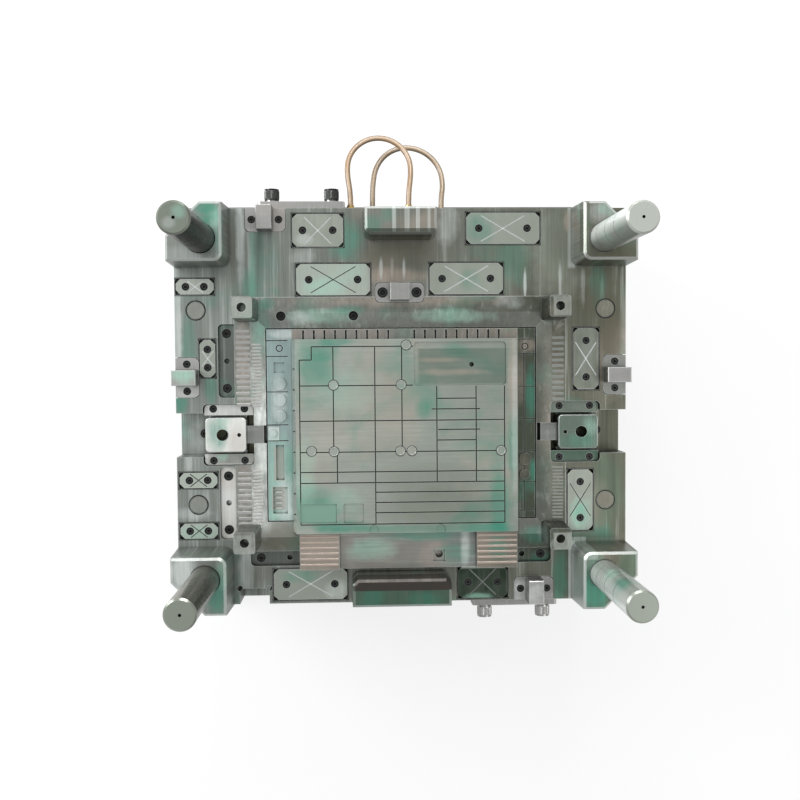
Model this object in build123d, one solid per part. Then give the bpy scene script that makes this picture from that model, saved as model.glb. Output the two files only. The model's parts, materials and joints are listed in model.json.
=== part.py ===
# Core half of an injection mould on an 800 by 700 mm mould base, in millimetres.
# X runs along the plate, Y across it and Z up through the parting face. The origin is
# the centre of the ejector rod hole, in the underside of the clamp plate.
from build123d import *
from math import tan, radians
import os

os.makedirs("parts", exist_ok=True)

# Plate stack
PLATE_LENGTH = 800.0
PLATE_WIDTH = 700.0
CLAMP_FLANGE = 50.0
CLAMP_HEIGHT = 45.0
SPACER_HEIGHT = 150.0
EJECTOR_WIDTH = 500.0
SPACER_GAP = 2.0
SPACER_WIDTH = (PLATE_WIDTH - EJECTOR_WIDTH) / 2 - SPACER_GAP
CORE_PLATE_HEIGHT = 150.0
PLATE_CHAMFER = 2.0

# Heights that follow from the stack
SPACER_BASE = CLAMP_HEIGHT
CORE_PLATE_BASE = CLAMP_HEIGHT + SPACER_HEIGHT
FACE = CORE_PLATE_BASE + CORE_PLATE_HEIGHT
HALF_LENGTH = PLATE_LENGTH / 2
HALF_WIDTH = PLATE_WIDTH / 2

# How far places along the rows and down the sides are drawn out from the usual base
USUAL_LENGTH = 800.0
USUAL_WIDTH = 700.0
DRAW_X = PLATE_LENGTH / USUAL_LENGTH
DRAW_Y = PLATE_WIDTH / USUAL_WIDTH

# Clearances
RUNNING = 0.05
SEAT = 0.3
SCREW_GAP = 0.2
LOOSE = 0.5
BOLT_GAP = 1.0
HEAD_DROP = 1.0
BOLT_SINK = 2.0

# How far a cut runs past the face that it opens, and how tall a counterbore's cut stands
OVERCUT = 1.0
CUT_HEIGHT = 40.0

# Small chamfer along the top edges of locks and slides
EDGE_BREAK = 1.5

# Corner towers, cut from the core plate
TOWER_LENGTH = 98.0
TOWER_WIDTH = 103.0
TOWER_HEIGHT = 88.0
TOWER_CORNER = 16.0
TOWER_CUT = 58.0
TOWER_DRAFT = 1.5
TOWER_CHAMFER = 4.0
TOWER_BORE_GAP = 1.0

# Taper blocks at the two long edges, cut from the core plate
TAPER_HEIGHT = 68.0
TAPER_DEPTH = 52.0
TAPER_INSET = 5.0
TAPER_DRAFT = 2.0
TAPER_CORNER = 10.0
REAR_TAPER_LENGTH = 127.0 * DRAW_X
REAR_TAPER_X = -4.0
FRONT_TAPER_LENGTH = 175.0 * DRAW_X
FRONT_TAPER_X = -6.0

# Guide pillars
PILLAR_RADIUS = 25.0
PILLAR_REACH = 311.0
PILLAR_X = HALF_LENGTH - 60.0
PILLAR_Y = HALF_WIDTH - 63.0
PILLAR_HEAD_RADIUS = 28.0
PILLAR_HEAD_HEIGHT = 10.0
PILLAR_CHAMFER = 3.0
PILLAR_CENTRE_RADIUS = 2.5
PILLAR_CENTRE_DEPTH = 8.0
PILLAR_CENTRE_CONE = 1.5
OIL_GROOVE_WIDTH = 2.0
OIL_GROOVE_DEPTH = 0.8
OIL_GROOVE_FIRST = 76.0
OIL_GROOVE_PITCH = 54.0
OIL_GROOVES = 3

# Core frame: the ring round the core, seated in a pocket of the core plate
POCKET_DEPTH = 75.0
FRAME_X0 = 103.0 - HALF_LENGTH
FRAME_X1 = HALF_LENGTH - 109.0
FRAME_Y0 = 94.0 - HALF_WIDTH
FRAME_Y1 = HALF_WIDTH - 156.0
FRAME_CORNER = 12.0
SLOPE_DEPTH = 10.0
SLOPE_LAND = 28.0
POCKET_BASE = FACE - POCKET_DEPTH

# Corner posts of the core frame
POST_TOP = 37.0
POST_HEIGHT = 58.0
POST_OUTER_INSET = 2.0
POST_DRAFT = 4.5
POST_HOLE_RADIUS = 8.0
POST_HOLE_DEPTH = 40.0
POST_CORNER = 6.0
POST_TOP_CORNER = 5.0
FRONT_POST_INSET = 7.0

# Core insert, standing proud of the face
CORE_X0 = FRAME_X0 + 101.0
CORE_X1 = FRAME_X1 - 85.0
CORE_Y0 = FRAME_Y0 + 35.0
CORE_Y1 = FRAME_Y1 - 75.0
CORE_RISE = 30.0
CORE_LEFT_FLANK = 8.0
CORE_RIGHT_FLANK = 6.0
CORE_TOP = FACE + CORE_RISE
GROOVE = 2.0
GROOVE_DEPTH = 2.5

# How far the pattern in the core's top is drawn out, and where its middle goes
CORE_DRAW_X = (CORE_X1 - CORE_X0) / 402.0
CORE_DRAW_Y = (CORE_Y1 - CORE_Y0) / 340.0


def core_x(x):
    """A place along X in the core's pattern, drawn out with the core."""
    return CORE_X0 + (x + 196.0) * CORE_DRAW_X


def core_y(y):
    """A place along Y in the core's pattern, drawn out with the core."""
    return CORE_Y0 + (y + 221.0) * CORE_DRAW_Y


def core_box(x0, x1, y0, y1):
    """A rectangle of the core's pattern, drawn out with the core."""
    return core_x(x0), core_x(x1), core_y(y0), core_y(y1)


# Lines engraved in the core's top: place across, then the two ends
CORE_LINES_ALONG_Y = [(-181.0, -205.0, 83.0), (-160.0, 83.0, 106.0), (-122.5, -78.0, 106.0),
                      (-50.0, -205.0, 106.0), (-3.0, -78.0, 106.0), (58.0, -132.0, 36.0),
                      (127.0, -132.0, 36.0), (177.0, -205.0, 36.0), (-116.5, -132.0, -78.0)]
CORE_LINES_ALONG_X = [(106.0, -160.0, 17.0), (83.0, -181.0, -160.0), (38.0, -181.0, 17.0),
                      (-23.5, -181.0, 177.0), (-78.0, -181.0, 177.0), (-113.0, -181.0, 177.0),
                      (-132.0, -181.0, 177.0), (14.5, 58.0, 127.0), (-4.0, 49.0, 134.0),
                      (-40.0, 60.0, 134.0), (-58.5, 58.0, 127.0), (-149.0, -50.0, 177.0),
                      (-167.0, -50.0, 177.0), (-185.0, -50.0, 177.0), (-205.0, -181.0, 177.0)]
WINDOW = core_box(18.0, 180.0, 37.0, 113.5)
WINDOW_DEPTH = 3.0
WINDOW_CORNER = 7.0
WINDOW_HOLE = (core_x(119.6), core_y(73.5))
WINDOW_HOLE_RADIUS = 4.3
WINDOW_HOLE_DEPTH = 30.0
CORE_SQUARE = core_box(-106.5, -71.0, -203.0, -168.0)
CORE_SQUARE_CORNER = 4.0
CORE_STEP = core_box(-180.0, -118.5, -202.0, -168.5)
CORE_ARCH_X = (core_x(-53.5), core_x(64.0))
CORE_ARCH_RADIUS = 8.5
CORE_ARCH_LENGTH = 15.0

# Side inserts and the row of port blades behind the core
SIDE_X0 = FRAME_X0 + 56.0
SIDE_X1 = FRAME_X1 - 53.0
SIDE_Y0 = FRAME_Y0 + 53.0
SIDE_Y1 = FRAME_Y1 - 56.0
INSERT_GROOVE = 2.0
INSERT_GROOVE_DEPTH = 6.0
SIDE_DROP = 10.0
SIDE_RISE = 3.0
LEFT_LINE_GAP = 8.0
LEFT_LINES_Y = [core_y(y) for y in (118.0, 90.0, 27.0, -31.7, -60.0)]
LEFT_RING = (SIDE_X0 + 22.4, core_y(104.4), 6.5)
LEFT_SQUARE = (SIDE_X0 + 12.0, SIDE_X0 + 31.0, core_y(60.6), core_y(79.6))
LEFT_DISCS_Y = [core_y(y) for y in (41.5, 12.6, -15.7)]
LEFT_DISC = (SIDE_X0 + 22.0, 11.4)
LEFT_BLOCK = (SIDE_X0 + 1.5, SIDE_X0 + 21.0, core_y(-59.0), core_y(-33.0))
LEFT_BOSS = (SIDE_X0 + 10.5, core_y(-46.5), 6.2)
LEFT_SLOT = (SIDE_X0 + 14.5, SIDE_X0 + 29.0, core_y(-130.5), core_y(-67.5))
LEFT_RECESS = (SIDE_X0 + 8.5, SIDE_X0 + 34.0, core_y(-190.5), core_y(-143.0))
LEFT_RIBS = 4
LEFT_RIB_THICK = 4.0
LEFT_RIB_START = 4.0
LEFT_RIB_END = 9.0
RIGHT_LINE_X = SIDE_X1 - 20.0
RIGHT_LINES_Y = [core_y(y) for y in (118.0, 92.5, 33.5, -24.5, -83.0, -139.0, -190.0)]
RIGHT_RING = (SIDE_X1 - 18.0, core_y(105.0), 6.5)
RIGHT_DISCS = [(SIDE_X1 - 18.0, core_y(-97.0), 10.7), (SIDE_X1 - 19.0, core_y(-125.0), 8.9)]
BLADE_DROP = 8.0
BLADE_PITCH = 18.9 * CORE_DRAW_X
BLADE_SLOT = 3.5
BLADE_SLOT_DEPTH = 6.0
BLADE_WEB = 2.0
BLADE_FIRST_X = core_x(-176.0)
BLADE_SLOTS_LEFT = 9
BLADE_SECOND_X = core_x(21.5)
BLADE_SLOTS_RIGHT = 9

# Ramp blocks in front of the core
RAMP_Y0 = FRAME_Y0 - 30.0
RAMP_X0 = core_x(-184.0)
RAMP_X1 = core_x(200.0)
RAMP_SPLIT_LEFT = core_x(-114.5)
RAMP_SPLIT_RIGHT = core_x(128.0)
RAMP_RISE = 24.0
RAMP_CENTRE_RISE = 14.0
RAMP_SEAT_DROP = 10.0
RAMP_HOLE_RADIUS = 7.0
RAMP_HOLE_X = core_x(62.0)
RAMP_HOLE_Y = RAMP_Y0 + 21.0
RAMP_SQUARE = 21.0
RAMP_RECESS = 3.0
RAMP_HOLE_DEPTH = 18.0
RAMP_HOLE_SHIFT = 2.0

# Wedge strips at the left and the retaining bar in front
WEDGE_WIDTH = 28.0
WEDGE_DROP = 10.0
WEDGE_HEIGHT = 45.0
WEDGE_CORNER = 8.0
WEDGE_SCREW_INSET = 16.0
BAR_WIDTH = 26.0
BAR_X0 = FRAME_X0 + 25.0
BAR_X1 = FRAME_X1 - 27.0
BAR_SCREW_INSET = 17.0
PLAIN_HOLE_RADIUS = 5.0
PLAIN_HOLE_DEPTH = 14.0

# Wear pads: centre x, centre y, length along x, width along y, screw pitch, pitch along x
PAD_DEPTH = 12.0
PAD_PROUD = 0.5
PAD_CORNER = 8.0
PAD_POCKET_CORNER = 4.0
PAD_GROOVE = 2.0
PAD_GROOVE_DEPTH = 1.0
PAD_HEAD_DROP = 1.5
PAD_CROSS_ALONG = 0.92
PAD_CROSS_ACROSS = 0.84
PAD_GAP = 1.4
LONG_PAD = (130.0 * DRAW_X, 55.0)
SHORT_PAD = (89.0 * DRAW_X, 57.0)
SIDE_PAD = (45.0, 109.0 * DRAW_Y)
SMALL_PAD = (66.0, 27.0)
LONG_PAD_PITCH = 86.0 * DRAW_X
SHORT_PAD_PITCH = 53.0 * DRAW_X
SIDE_PAD_PITCH = 65.0 * DRAW_Y
SMALL_PAD_PITCH = 32.0
LONG_PAD_PLACES = [(179.5 * DRAW_X, HALF_WIDTH - 36.0), (-121.5 * DRAW_X, FRAME_Y1 + 30.5),
                   (114.0 * DRAW_X, FRAME_Y1 + 31.5), (-167.0 * DRAW_X, 34.0 - HALF_WIDTH)]
SHORT_PAD_PLACES = [(-148.0 * DRAW_X, HALF_WIDTH - 39.0), (141.0 * DRAW_X, 33.0 - HALF_WIDTH)]
SIDE_PAD_PLACES = [(HALF_LENGTH - 72.0, 82.0 * DRAW_Y), (HALF_LENGTH - 82.5, -171.0 * DRAW_Y)]
SMALL_PAD_PLACES = [(36.0 - HALF_LENGTH, HALF_WIDTH - 137.0), (37.5 - HALF_LENGTH, -128.0 * DRAW_Y),
                    (37.5 - HALF_LENGTH, 132.0 - HALF_WIDTH)]
UPRIGHT_PAD_PLACE = (56.5 - HALF_LENGTH, 87.0 * DRAW_Y)

# Side locks: the four at the plate's edges and the one in the middle
LOCK_LENGTH = 70.0
LOCK_DEPTH = 41.0
LOCK_BLOCK_INSET = 1.0
LOCK_THICK = 20.0
LOCK_CORNER = 9.0
LOCK_PITCH = 47.5
LOCK_BLOCK = 27.0
LOCK_RISE = 32.0
LOCK_PROUD = 2.0
LOCK_SCREW_INSET = 20.0
REAR_LOCK_X = -240.0 * DRAW_X
FRONT_LOCK_X = 233.0 * DRAW_X
SIDE_LOCK_Y = 53.5 * DRAW_Y
MID_LOCK_X = -4.5
MID_LOCK_Y = FRAME_Y1 + 7.5
MID_LOCK_LENGTH = 86.0
MID_LOCK_WIDTH = 34.0
MID_LOCK_PITCH = 60.0
MID_LOCK_BLOCK = 35.0
MID_LOCK_FRONT_STEP = 3.0
MID_LOCK_REAR_STEP = 1.0
MID_LOCK_RISE = 22.0

# Empty lock seat in the front edge
SEAT_X0 = -292.0 * DRAW_X
SEAT_X1 = -240.0 * DRAW_X
SEAT_Y = 28.0 - HALF_WIDTH
SEAT_DEPTH = 62.0
SEAT_RELIEF_RADIUS = 5.0

# Slides: one at each short side, shown drawn out
SLIDE_Y = -48.0 * DRAW_Y
SLIDE_STROKE = 5.5
SLIDE_LENGTH = 71.0
SLIDE_WIDTH = 61.0
SLIDE_RISE = 5.0
SLIDE_SHOULDER = 8.0
SLIDE_SHOULDER_HEIGHT = 14.0
SLIDE_SHOULDER_INSET = 2.0
SLIDE_CORNER = 7.0
SLIDE_BACK_X = HALF_LENGTH - 51.5
SLIDE_CHANNEL_WIDTH = 77.5
SLIDE_CHANNEL_DEPTH = 50.0
SLIDE_POCKET_X0 = HALF_LENGTH - 136.0
SLIDE_POCKET_X1 = HALF_LENGTH - 46.5
SLIDE_POCKET_WIDTH = 109.0
SLIDE_POCKET_CORNER = 8.0
SLIDE_PLAY = 0.3
WEAR_PLATE_HEIGHT = 8.0
WEAR_PLATE_INSET = 2.0
GIB_WIDTH = 19.0
GIB_LIP_GAP = 4.0
GIB_SCREW_SHIFT = 2.0
GIB_LENGTH = 86.0
GIB_DROP = 8.0
GIB_PITCH = 55.0
HORN_RADIUS = 10.2
HORN_ANGLE = 15.0
HORN_FROM_BACK = 30.0
HORN_RELIEF_RADIUS = 14.0
HORN_RELIEF_DEPTH = 8.0
SLIDE_PORT_RADIUS = 3.5
SLIDE_PORT_FROM_BACK = 59.0
SLIDE_PORT_DEPTH = 10.0
TONGUE_WIDTH = 31.0
TONGUE_REACH = 30.5
TONGUE_ROOT = 20.0
TONGUE_GAP = SLIDE_STROKE + LOOSE
TONGUE_HEIGHT = 24.0
TONGUE_DROP = 5.0

# Wedge strips, one on each side of the left slide, and the relief round pads and locks
WEDGE_UPPER_Y = (SLIDE_Y + 66.0, 147.0 * DRAW_Y)
WEDGE_LOWER_Y = (-234.0 * DRAW_Y, SLIDE_Y - 58.0)
LOCK_GAP = 1.0

# Transport straps at the rear and front walls
STRAP_LENGTH = 155.0
STRAP_HEIGHT = 40.0
STRAP_THICK = 16.0
STRAP_CORNER = 6.0
STRAP_DROP = 25.0
STRAP_PITCH = 107.0
STRAP_HOLE_RADIUS = 9.0
REAR_STRAP_X = -178.0
FRONT_STRAP_X = 203.0

# Screws: shank radius, head radius, head height, socket across flats
SOCKET_FLOOR_SHARE = 0.45
M8 = (4.0, 6.5, 8.0, 6.0)
M10 = (5.0, 8.0, 10.0, 8.0)
M12 = (6.0, 9.0, 12.0, 10.0)
STRAP_BOLT = (8.0, 13.0, 20.0, 14.0)
M20 = (10.0, 15.0, 20.0, 17.0)
WASHER_THICK = 4.0
WASHER_RADIUS = 11.0
PAD_SCREW_LENGTH = 18.0
LOCK_SCREW_LENGTH = 24.0
GIB_SCREW_LENGTH = 48.0
STRIP_SCREW_LENGTH = 55.0
FRAME_SCREW_LENGTH = 65.0
FRAME_SCREW_DROP = 25.0
SUPPORT_SCREW_LENGTH = 53.0
SUPPORT_HOLE_DEPTH = 25.0
EJECTOR_SCREW_LENGTH = 30.0
EJECTOR_SCREW_HOLE = 19.0
STRAP_SCREW_LENGTH = 45.0

# Core frame screws, in the rear side of the frame
FRAME_SCREW_Y = FRAME_Y1 - 33.0
FRAME_SCREW_X = (-214.5 * DRAW_X, -86.5 * DRAW_X)

# Ejector box
STOP_BUTTON_HEIGHT = 5.0
STOP_BUTTON_RADIUS = 15.0
EJECTOR_BASE_HEIGHT = 30.0
RETAINER_HEIGHT = 25.0
RETURN_PIN_RADIUS = 15.0
RETURN_PIN_X = HALF_LENGTH - 37.0
RETURN_PIN_Y = EJECTOR_WIDTH / 2 - 78.5
PIN_HEAD_STEP = 2.5
PIN_HEAD_HEIGHT = 8.0
SPRING_RADIUS = 29.0
SPRING_BORE = 16.0
SPRING_POCKET_DEPTH = 50.0
SPRING_GAP = 1.0
EJECTOR_PIN_RADIUS = 8.0
EJECTOR_PIN_PATTERN = [(-122.0, 39.0), (-4.0, 39.0), (5.0, 108.0), (-161.0, -76.0),
                       (-122.0, -77.0), (-6.0, -77.0), (14.0, -77.0), (171.0, -78.0)]
EJECTOR_PIN_PLACES = [(core_x(x), core_y(y)) for x, y in EJECTOR_PIN_PATTERN]
GUIDE_PIN_RADIUS = 15.0
GUIDE_PIN_X = HALF_LENGTH - 110.0
GUIDE_PIN_Y = EJECTOR_WIDTH / 2 - 35.0
GUIDE_PIN_SEAT = 20.0
BUSH_RADIUS = 22.0
BUSH_FLANGE_RADIUS = 26.0
BUSH_FLANGE_HEIGHT = 8.0
BUSH_INSET = 2.0
SUPPORT_RADIUS = 30.0
SUPPORT_X = HALF_LENGTH / 2
SUPPORT_Y = 0.3 * EJECTOR_WIDTH
SUPPORT_GAP = 1.5
STOP_BUTTON_X = (120.0 * DRAW_X, HALF_LENGTH - 30.0)
STOP_BUTTON_Y = EJECTOR_WIDTH / 2 - 25.0
ROD_HOLE_RADIUS = 25.0
CLAMP_BOLT_X = (170.0 - HALF_LENGTH, 0.0, HALF_LENGTH - 170.0)
CLAMP_BOLT_REACH = 30.0
EJECTOR_SCREW_PLACES = [(sx * (HALF_LENGTH - 70.0), sy * 0.18 * EJECTOR_WIDTH)
                        for sx in (-1, 1) for sy in (-1, 1)]
EJECTOR_SCREW_PLACES += [(0.0, 50.0 - EJECTOR_WIDTH / 2), (0.0, EJECTOR_WIDTH / 2 - 50.0)]

# Lifting holes and cooling ports in the walls of the core plate
LIFTING_RADIUS = 13.5
LIFTING_DEPTH = 50.0
REAR_LIFTING_PITCH = PLATE_LENGTH - 300.0
FRONT_LIFTING_PITCH = PLATE_LENGTH - 320.0
LIFTING_Z = 250.0
PORT_RADIUS = 6.0
PORT_DEPTH = 40.0
UPPER_PORT_Z = 298.0
LOWER_PORT_Z = 262.0
UPPER_PORTS_X = (-90.0, 15.0)
LOWER_PORTS_X = (-50.0, 77.0)
FRONT_PORT_SHIFT = -12.0
NIPPLE_FLATS = 14.0
NIPPLE_HEX_LENGTH = 8.0
NIPPLE_COLLAR_LENGTH = 4.0
NIPPLE_THREAD_LENGTH = 15.0
NIPPLE_COLLAR_WALL = 1.5

# Cooling hoses
HOSE_RADIUS = 5.0
HOSE_BEND_SHARE = 0.45
HOSE_START_Y = HALF_WIDTH + NIPPLE_HEX_LENGTH + NIPPLE_COLLAR_LENGTH
UPPER_HOSE = [(-90, HOSE_START_Y, 298), (-90, 384, 298), (-96, 420, 293), (-94, 449, 287), (-78, 474, 280),
              (-52.5, 488, 276), (-23.5, 488, 274), (2, 474, 276), (18, 449, 283), (20, 420, 291),
              (15, 384, 298), (15, HOSE_START_Y, 298)]
LOWER_HOSE = [(-50, HOSE_START_Y, 262), (-50, 382, 262), (-49, 408, 259), (-44, 438, 253), (-27, 464, 246),
              (1, 479, 240), (32, 478, 238), (59, 463, 241), (77, 437, 247), (81, 406, 256),
              (77, 382, 262), (77, HOSE_START_Y, 262)]


def slab(x0, x1, y0, y1, z0, z1):
    """Box between two corners."""
    return Pos((x0 + x1) / 2, (y0 + y1) / 2, (z0 + z1) / 2) * Box(x1 - x0, y1 - y0, z1 - z0)


def rod(x, y, z0, z1, radius):
    """Upright round bar or hole."""
    return Pos(x, y, (z0 + z1) / 2) * Cylinder(radius, z1 - z0)


def bar_y(x, z, y0, y1, radius):
    """Round bar or hole along Y."""
    return Pos(x, (y0 + y1) / 2, z) * Rot(90, 0, 0) * Cylinder(radius, abs(y1 - y0))


def rounded(x0, x1, y0, y1, z0, z1, corner):
    """Upright block with rounded corners."""
    outline = Pos((x0 + x1) / 2, (y0 + y1) / 2, z0) * RectangleRounded(x1 - x0, y1 - y0, corner)
    return extrude(outline, z1 - z0)


def corners(x, y):
    """The four corner places of a rectangle about the origin."""
    return [(sx * x, sy * y) for sx in (-1, 1) for sy in (-1, 1)]


def screw(size, length):
    """Socket head screw standing on the origin, shank down."""
    shank, head, height, flats = size
    profile = Polyline((0, -length), (shank, -length), (shank, 0), (head, 0), (head, height), (0, height),
                       close=True)
    body = revolve(Plane.XZ * make_face(profile), Axis.Z)
    hexagon = RegularPolygon(flats / 2, 6, major_radius=False)
    return body - Pos(0, 0, height * SOCKET_FLOOR_SHARE) * extrude(hexagon, height)


def seat_cut(x, y, z, size, length):
    """Counterbore and hole for a socket head screw whose head stands on height z."""
    shank, head, _, _ = size
    bore = rod(x, y, z, z + CUT_HEIGHT, head + LOOSE)
    return [bore, screw_hole(x, y, z, size, length)]


def screw_hole(x, y, z, size, length):
    """Hole for the shank of a screw whose head stands on height z."""
    return rod(x, y, z - length - OVERCUT, z + OVERCUT, size[0] + SCREW_GAP)


def pitch_pair(x, y, pitch, along_x):
    """Two places a pitch apart about a centre."""
    if along_x:
        return [(x - pitch / 2, y), (x + pitch / 2, y)]
    return [(x, y - pitch / 2), (x, y + pitch / 2)]


def wear_pads():
    """Every wear pad as centre, size, screw places and the node that it belongs to."""
    pads = [(x, y, LONG_PAD, LONG_PAD_PITCH, True, "wear_pads_long") for x, y in LONG_PAD_PLACES]
    pads += [(x, y, SHORT_PAD, SHORT_PAD_PITCH, True, "wear_pads_short") for x, y in SHORT_PAD_PLACES]
    pads += [(x, y, SIDE_PAD, SIDE_PAD_PITCH, False, "wear_pads_side") for x, y in SIDE_PAD_PLACES]
    pads += [(x, y, SMALL_PAD, SMALL_PAD_PITCH, True, "wear_pads_small") for x, y in SMALL_PAD_PLACES]
    turned = (SMALL_PAD[1], SMALL_PAD[0])
    pads.append((*UPRIGHT_PAD_PLACE, turned, SMALL_PAD_PITCH, False, "wear_pads_small"))
    return pads


PAD_SCREW_Z = FACE + PAD_PROUD - M8[2] - PAD_HEAD_DROP
LOCK_SCREW_Z = FACE - M8[2] - HEAD_DROP
MID_LOCK_SCREW_Z = FACE - M12[2] - HEAD_DROP


def wear_pad(x, y, size, pitch, along_x):
    """Wear pad with cut corners, crossed oil grooves and two counterbores."""
    length, width = size
    outline = chamfer(Rectangle(length, width).vertices(), PAD_CORNER)
    top = FACE + PAD_PROUD
    pad = Pos(x, y, FACE - PAD_DEPTH) * extrude(outline, PAD_DEPTH + PAD_PROUD)
    lean = Vector(pitch * PAD_CROSS_ALONG, width * PAD_CROSS_ACROSS)
    if not along_x:
        lean = Vector(length * PAD_CROSS_ACROSS, pitch * PAD_CROSS_ALONG)
    angle = Vector(1, 0).get_angle(lean)
    for turn in (angle, -angle):
        groove = Pos(x, y, top) * Rot(0, 0, turn) * Box(lean.length, PAD_GROOVE, 2 * PAD_GROOVE_DEPTH)
        pad -= groove
    for px, py in pitch_pair(x, y, pitch, along_x):
        pad -= seat_cut(px, py, PAD_SCREW_Z, M8, PAD_SCREW_LENGTH)
    return pad


def edge_locks():
    """The four edge locks as place and turn, each with its open side outwards."""
    return [Pos(REAR_LOCK_X, HALF_WIDTH, FACE),
            Pos(FRONT_LOCK_X, -HALF_WIDTH, FACE) * Rot(0, 0, 180),
            Pos(-HALF_LENGTH, SIDE_LOCK_Y, FACE) * Rot(0, 0, 90),
            Pos(HALF_LENGTH, SIDE_LOCK_Y, FACE) * Rot(0, 0, -90)]


def lock_outline(grow):
    """Outline of an edge lock, open towards +Y, with two rounded inner corners."""
    outline = Rectangle(LOCK_LENGTH + 2 * grow, LOCK_DEPTH + grow, align=(Align.CENTER, Align.MAX))
    inner = outline.vertices().sort_by(Axis.Y)[:2]
    return fillet(inner, LOCK_CORNER)


def edge_lock():
    """Edge lock lying at its own origin, its top in the face plane."""
    base = Pos(0, 0, -LOCK_THICK) * extrude(lock_outline(0), LOCK_THICK)
    half = LOCK_BLOCK / 2
    block = slab(-half, half, LOCK_BLOCK_INSET - LOCK_DEPTH, LOCK_PROUD, -LOCK_THICK, LOCK_RISE)
    top = block.edges().group_by(Axis.Z)[-1]
    lock = base + chamfer(top, EDGE_BREAK)
    for x in (-LOCK_PITCH / 2, LOCK_PITCH / 2):
        lock -= seat_cut(x, -LOCK_SCREW_INSET, LOCK_SCREW_Z - FACE, M8, LOCK_SCREW_LENGTH)
    return lock


def lock_screw_places():
    """World places of the edge lock screws."""
    places = []
    for place in edge_locks():
        for x in (-LOCK_PITCH / 2, LOCK_PITCH / 2):
            spot = (place * Pos(x, -LOCK_SCREW_INSET, 0)).position
            places.append((spot.X, spot.Y))
    return places


def mid_lock():
    """Centre lock with rounded corners and a raised block."""
    x0, x1 = MID_LOCK_X - MID_LOCK_LENGTH / 2, MID_LOCK_X + MID_LOCK_LENGTH / 2
    y0, y1 = MID_LOCK_Y - MID_LOCK_WIDTH / 2, MID_LOCK_Y + MID_LOCK_WIDTH / 2
    base = rounded(x0, x1, y0, y1, FACE - LOCK_THICK, FACE, LOCK_CORNER)
    half = MID_LOCK_BLOCK / 2
    block = slab(MID_LOCK_X - half, MID_LOCK_X + half, y0 + MID_LOCK_FRONT_STEP, y1 - MID_LOCK_REAR_STEP,
                 FACE - LOCK_THICK, FACE + MID_LOCK_RISE)
    lock = base + chamfer(block.edges().group_by(Axis.Z)[-1], EDGE_BREAK)
    for x, y in pitch_pair(MID_LOCK_X, MID_LOCK_Y, MID_LOCK_PITCH, True):
        lock -= seat_cut(x, y, MID_LOCK_SCREW_Z, M12, LOCK_SCREW_LENGTH)
    return lock


def tower(x, y):
    """Corner tower with a rounded inner corner and a cut outer corner, tapering slightly upwards."""
    sx, sy = (1 if x > 0 else -1), (1 if y > 0 else -1)
    outline = Rectangle(TOWER_LENGTH, TOWER_WIDTH)
    outline = chamfer(outline.vertices().sort_by(Axis((0, 0, 0), (sx, sy, 0)))[-1], TOWER_CUT)
    outline = fillet(outline.vertices().sort_by(Axis((0, 0, 0), (sx, sy, 0)))[0], TOWER_CORNER)
    block = extrude(outline, TOWER_HEIGHT, taper=TOWER_DRAFT)
    block = chamfer(block.edges().group_by(Axis.Z)[-1], TOWER_CHAMFER)
    return Pos(sx * (HALF_LENGTH - TOWER_LENGTH / 2), sy * (HALF_WIDTH - TOWER_WIDTH / 2), FACE) * block


def taper_block(x, length, side):
    """Taper block on a long edge, its two inner corners cut."""
    outline = Rectangle(length, TAPER_DEPTH)
    inner = outline.vertices().sort_by(Axis((0, 0, 0), (0, side, 0)))[:2]
    outline = chamfer(inner, TAPER_CORNER)
    block = extrude(outline, TAPER_HEIGHT, taper=TAPER_DRAFT)
    block = chamfer(block.edges().group_by(Axis.Z)[-1], TOWER_CHAMFER)
    return Pos(x, side * (HALF_WIDTH - TAPER_INSET - TAPER_DEPTH / 2), FACE) * block


def frame_outline(grow):
    """Block that the core frame fills, from the pocket floor to the face."""
    return rounded(FRAME_X0 - grow, FRAME_X1 + grow, FRAME_Y0 - grow, FRAME_Y1 + grow,
                   POCKET_BASE, FACE, FRAME_CORNER)


def wedge_strip(span, grow):
    """Wedge strip beside the core frame, its two outer corners rounded."""
    outline = Rectangle(WEDGE_WIDTH + grow, span[1] - span[0] + 2 * grow, align=(Align.MAX, Align.CENTER))
    outer = outline.vertices().sort_by(Axis.X)[:2]
    top = FACE - WEDGE_DROP
    strip = extrude(fillet(outer, WEDGE_CORNER), WEDGE_HEIGHT)
    return Pos(FRAME_X0, (span[0] + span[1]) / 2, top - WEDGE_HEIGHT) * strip


def retaining_bar(grow):
    """Bar in front of the core frame, its two front corners rounded."""
    outline = Rectangle(BAR_X1 - BAR_X0 + 2 * grow, BAR_WIDTH + grow, align=(Align.CENTER, Align.MAX))
    front = outline.vertices().sort_by(Axis.Y)[:2]
    bar = extrude(fillet(front, WEDGE_CORNER), WEDGE_HEIGHT)
    return Pos((BAR_X0 + BAR_X1) / 2, FRAME_Y0, FACE - WEDGE_DROP - WEDGE_HEIGHT) * bar


def strip_screw_places():
    """Screw places of the wedge strips and the retaining bar."""
    places = []
    for low, high in (WEDGE_UPPER_Y, WEDGE_LOWER_Y):
        places += [(FRAME_X0 - WEDGE_WIDTH / 2, low + WEDGE_SCREW_INSET),
                   (FRAME_X0 - WEDGE_WIDTH / 2, high - WEDGE_SCREW_INSET)]
    bar_y_centre = FRAME_Y0 - BAR_WIDTH / 2
    places += [(BAR_X0 + BAR_SCREW_INSET, bar_y_centre), (BAR_X1 - BAR_SCREW_INSET, bar_y_centre)]
    return places


STRIP_SCREW_Z = FACE - WEDGE_DROP - M10[2] - HEAD_DROP
FRAME_SCREW_Z = FACE - FRAME_SCREW_DROP
GIB_TOP = FACE - GIB_DROP
GIB_SCREW_Z = GIB_TOP - M8[2] - HEAD_DROP
SLIDE_FLOOR = FACE - SLIDE_CHANNEL_DEPTH
SLIDE_BASE = SLIDE_FLOOR + WEAR_PLATE_HEIGHT
SLIDE_TOP = FACE + SLIDE_RISE


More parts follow.
